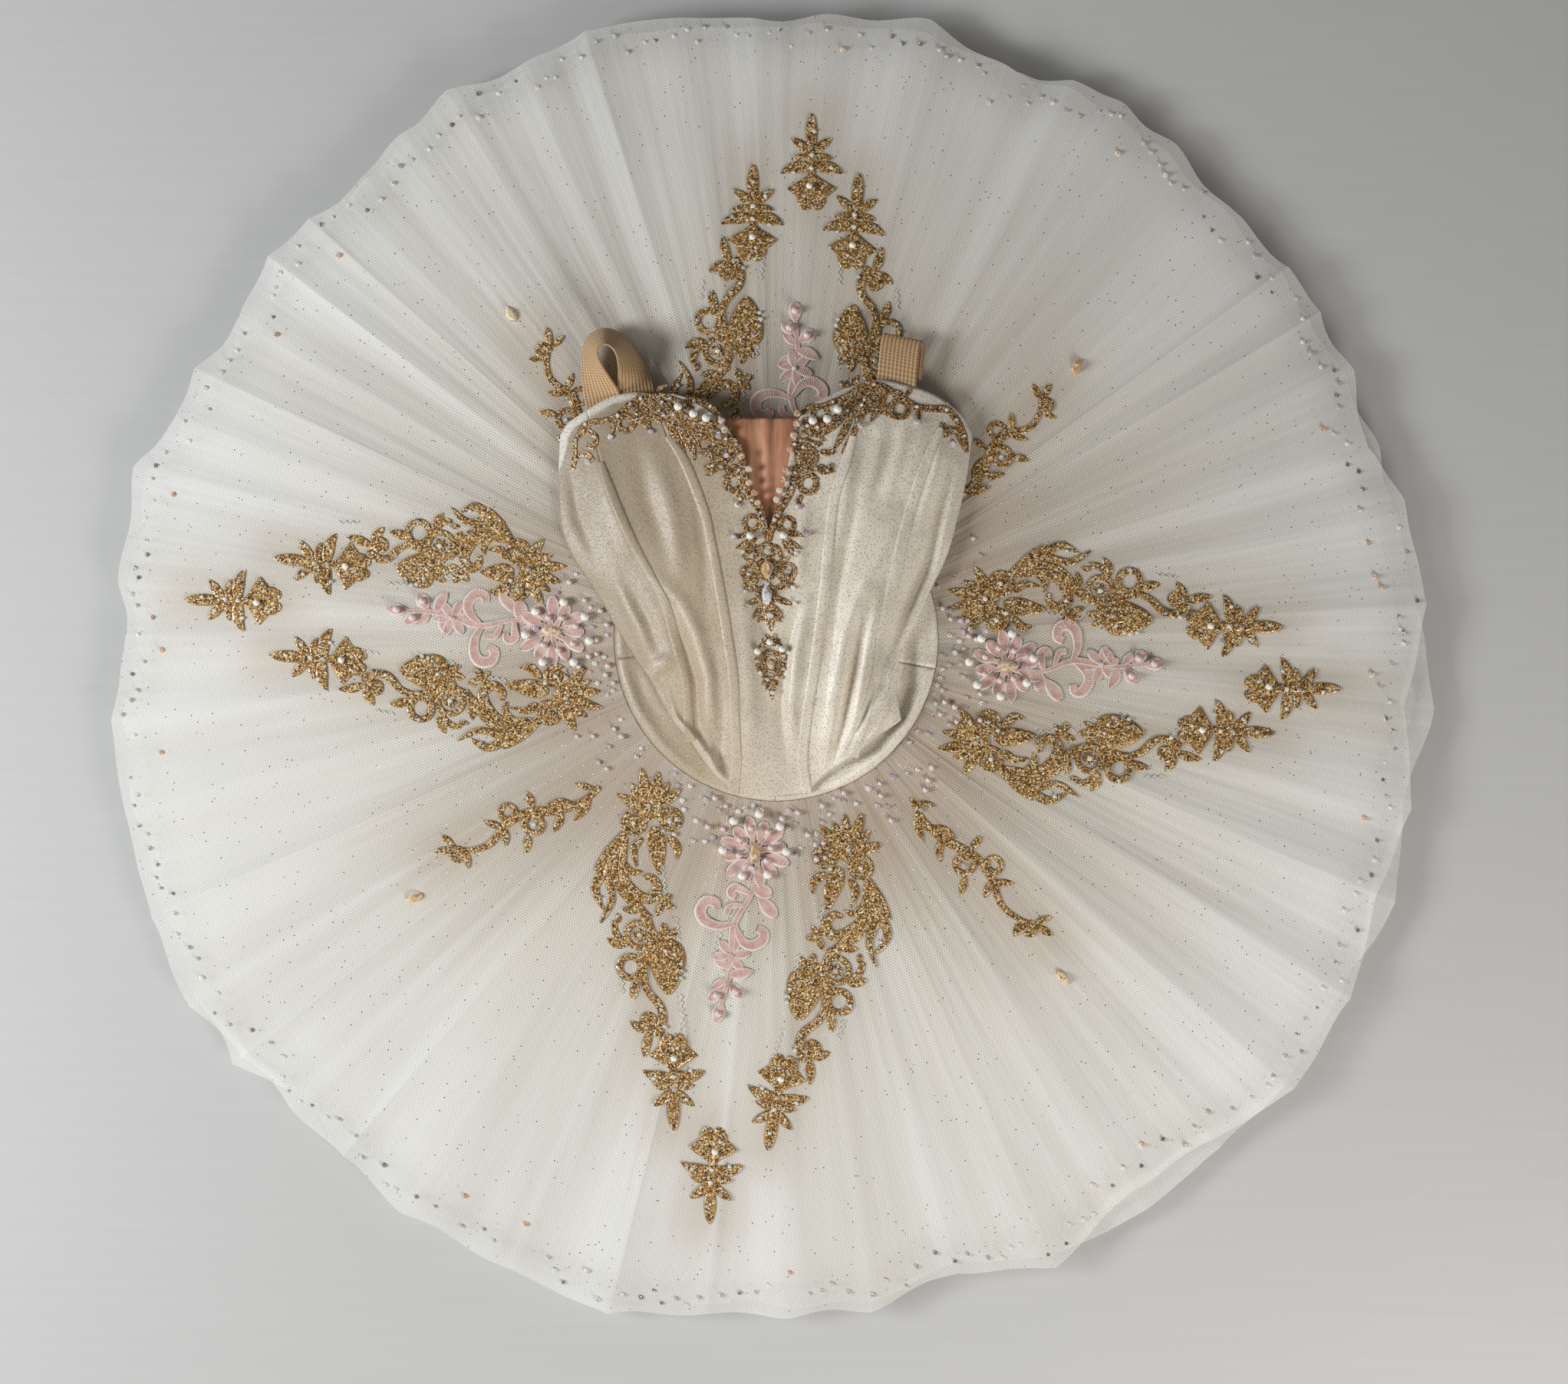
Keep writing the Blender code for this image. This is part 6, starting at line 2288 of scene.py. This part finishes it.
@dataclass
class Neckline:
    """Bullion lace round the neckline, with its pearls and stones, in the bodice's plan."""

    form: BodiceForm
    gems: GemBox
    seed: int = 9
    bead_chance: float = 0.55

    def surface(self, x: float, y: float) -> float:
        """Height on which the bullion lies."""
        return self.form.height(x, y) + 0.15

    def lay(self, strokes: Iterable[Stroke], name: str) -> Piece:
        """Make one piece of bullion from strokes in the plan of the bodice."""
        return lay_lace(name, strokes, self.surface, as_drawn, BULLION, Slot.GOLD_LACE)

    def half(self, side: int, name: str) -> Piece:
        """Make one half of the lace, 0 for the left and 1 for the right."""
        strokes = [Stroke(path, (width * 0.8, width * 1.25, width * 1.25, width * 0.8), 1.2,
                          6 * len(path)) for path, (width,) in NECK_CORDS[side]]
        strokes += [ring((x, y), radius * 0.86, cord * 1.25, 1.0, 0.12, 40.0 + 31.0 * x)
                    for x, y, radius, cord in NECK_RINGS[side]]
        for x, y, tip_x, tip_y, width in NECK_LEAVES[side]:
            run = Vector((tip_x - x, tip_y - y))
            strokes.append(leaf((x, y), math.degrees(math.atan2(run.y, run.x)), run.length,
                                width * 1.15, 0.8))
        for x, y, radius in NECK_ROSES[side]:
            strokes += flower((x, y), radius, 5, radius * 0.8)
        return self.lay(strokes, name)

    def bead(self, gem: Gem, x: float, y: float, size: float, lift: float = 1.1,
             turn: float = 0.0) -> None:
        """Put a bead on the lace of the bodice."""
        self.gems.put(gem, x, y, self.surface(x, y) + lift, size, turn)

    def beads(self) -> None:
        """Pearls at the lobes, copper stones down the V and lilac drops below the lace."""
        for x, y in NECK_PEARLS:
            self.bead(Gem.PEARL, x, y, 6.2)
        for x, y in NECK_COPPER:
            self.bead(Gem.TOPAZ, x + math.copysign(1.0, x + 4.0), y, 5.2, 1.6)
        for x, y in NECK_DROPS:
            self.bead(Gem.LILAC, x, y, 4.6, 0.5)
        dice = random.Random(self.seed)
        for path, _ in NECK_CORDS[0] + NECK_CORDS[1]:
            for x, y in path[1:-1]:
                if dice.random() < self.bead_chance:
                    self.bead(Gem.CLEAR, x, y, dice.uniform(2.2, 3.0), 0.9)

    def build_drop(self) -> Piece:
        """Make the drop at the centre front: wings, chain, side flowers and a point."""
        for gem, x, y, size, lift, turn in (
                (Gem.PEARL, -18.1, 71.8, 5.6, 1.4, 0.0), (Gem.PEARL, 5.2, 72.1, 5.6, 1.4, 0.0),
                (Gem.NAVETTE, -6.4, 48.6, 14.6, 1.9, 90.0),
                (Gem.SILVER, -6.4, 30.4, 14.6, 1.7, 92.0), (Gem.LILAC, -3.9, 16.2, 4.9, 1.1, 0.0)):
            self.bead(gem, x, y, size, lift, turn)
        for x, y in table("-6,61.5 -23,61 14,60 -19,45.5 8.6,47 -20,24 13,25 -9,84 -1,83 "
                          "-6,38.6 -21,33 12,36")[0][0]:
            self.bead(Gem.CLEAR, x, y, 3.2)
        return self.lay(drawing(CENTRE_DROP), "centre_drop")

    def build_medallion(self) -> Piece:
        """Make the oval medallion below the drop."""
        strokes = [replace(stroke, path=tuple((-3.5 + x * 0.92, -15.0 + y * 1.25)
                                              for x, y in stroke.path))
                   for stroke in drawing(MEDALLION)]
        for x, y in ((-12.9, -8.9), (-4.4, -2.4), (4.2, -7.3)):
            self.bead(Gem.PEARL, x, y, 5.0, 1.2)
        for row in range(9):
            angle = math.tau * row / 9.0 + 0.3
            self.bead(Gem.CLEAR, -3.5 + 9.4 * math.cos(angle), -16 + 12.8 * math.sin(angle),
                      3.0)
        self.bead(Gem.TOPAZ, -3.0, -17.4, 5.4, 1.2)
        self.bead(Gem.LILAC, -2.4, -37.5, 3.6)
        return self.lay(strokes, "medallion")

    def build(self) -> list[Piece]:
        """Make the neckline's lace, the drop and the medallion, and put their beads."""
        made = [self.half(0, "neckline_left"), self.half(1, "neckline_right"),
                self.build_drop(), self.build_medallion()]
        self.beads()
        return made


@dataclass
class Straps:
    """The two shoulder elastics: the left one twists, the right one folds over.

    Each has its width, its length, and for places along it the middle of the elastic and the
    direction across it.
    """

    wall: float = 1.3
    steps: int = 72
    rows: int = 20
    straps: tuple = (("strap_left", 26.0, 0.114, """
-120.5,160,51.4 1,0.35,0 / -121.8,169,52.6 0.95,0.2,0.18 / -126,182,55.5 0.72,0,0.55
-130,196,59.5 0.5,-0.12,0.85 / -129,206.5,61 0.3,-0.35,0.88
-121.5,212,61.5 0.02,-0.48,0.88 / -112.5,209.5,61 -0.3,-0.35,0.88
-105.5,201,59.5 -0.5,-0.1,0.82 / -100.5,189,56.5 -0.72,0.02,0.6
-98.5,177,53.6 -0.95,0.05,0.2 / -98,167,52.4 -1,0,0
"""), ("strap_right", 28.0, 0.067, """
84.5,176,55.2 1,-0.21,0 / 86,194,54.6 1,-0.21,0 / 87.4,206,53.6 1,-0.21,0
88.6,211,52.4 1,-0.21,0 / 90,211.4,50.8 1,-0.21,0 / 91,206,49.8 1,-0.21,0
90,196,50 1,-0.21,0 / 89,185,50 1,-0.21,0
"""))

    def build(self) -> list[Piece]:
        """Make and dress both straps."""
        made = []
        for name, width, length, places in self.straps:
            centres, acrosses = (
                spline([place[part] for place in entries(places)], self.steps)
                for part in (0, 1))
            bm = bmesh.new()
            across = bm.verts.layers.float.new("across")
            along = bm.verts.layers.float.new("along")
            for corner, column, row in grid_corners(bm, self.steps, self.rows):
                share = row / self.rows
                corner.co = (centres[column]
                             + acrosses[column].normalized() * width * (share - 0.5))
                corner[across] = share
                corner[along] = length / MM * column / self.steps
            piece = make_piece(bm, "elastic_" + name, ELASTIC, Slot.ELASTIC,
                               (name,))
            give_wall(piece, self.wall, 0.0)
            made.append(piece)
        return made


# ---------- the studio


@dataclass
class Studio:
    """Plain pale floor, soft light from two windows and a camera that looks straight down."""

    view_width: float = 1.104
    middle: Point = (0.0056, -0.0373)
    lens: float = 150.0
    sensor: float = 36.0
    level: float = 0.045
    floor_width: float = 3.0
    light_width: float = 0.7
    aim: tuple[float, float, float] = (0.0, 0.0, 0.03)
    air: Colour = (1.0, 0.96, 0.86)
    air_strength: float = 0.13

    def light(self, name: str, place: tuple[float, float, float], energy: float,
              colour: Colour) -> None:
        """Hang one soft light (place in metres, energy in watts) that faces the plate."""
        data = bpy.data.lights.new(name, "AREA")
        data.size = self.light_width
        data.energy = energy
        data.color = colour
        lamp = add_object(name, data)
        lamp.location = place
        run = Vector(self.aim) - Vector(place)
        lamp.rotation_euler = run.to_track_quat("-Z", "Y").to_euler()

    def camera(self) -> None:
        """Set the camera above the middle of the view."""
        data = bpy.data.cameras.new("overhead")
        data.lens = self.lens
        data.sensor_width = self.sensor
        data.clip_end = 50.0
        camera = add_object("overhead", data)
        distance = self.view_width * self.lens / self.sensor
        camera.location = (*self.middle, distance + self.level)
        bpy.context.scene.camera = camera

    def build(self) -> None:
        """Set the whole studio."""
        world = bpy.data.worlds.new("studio_air")
        world.use_nodes = True
        air = world.node_tree.nodes["Background"]
        air.inputs[0].default_value = (*self.air, 1.0)
        air.inputs[1].default_value = self.air_strength
        bpy.context.scene.world = world
        bpy.context.scene.view_settings.view_transform = "Standard"
        bm = bmesh.new()
        bmesh.ops.create_grid(bm, x_segments=1, y_segments=1, size=self.floor_width)
        add_mesh(bm, "studio_floor", FLOOR)
        self.light("left_window", (-1.9, -0.2, 1.2), 40.0, (0.95, 0.98, 1.0))
        self.light("front_window", (0.9, -1.4, 1.0), 19.5, (1.0, 0.97, 0.92))
        self.camera()


def main() -> None:
    """Build every sub-assembly in order, and log how many pieces and faces there are."""
    logging.basicConfig(level=logging.INFO, format="%(message)s")
    LOG.info("%d solids to dress", len(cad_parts))
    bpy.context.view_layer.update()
    plate_form, bodice_form = PlateForm(), BodiceForm()
    gems = GemBox()
    made = [Knickers().build(), *Plate().build()]
    made += Basque().build()
    made += Bodice(bodice_form).build()
    made += Neckline(bodice_form, gems).build()
    made += Straps().build()
    made += PlateLace(plate_form, gems).build()
    PlateStones(plate_form, gems).build()
    made += gems.build()
    LOG.info("%d pieces, %d faces", len(made), sum(len(piece.data.polygons) for piece in made))
    Studio().build()


if __name__ == "__main__":
    main()
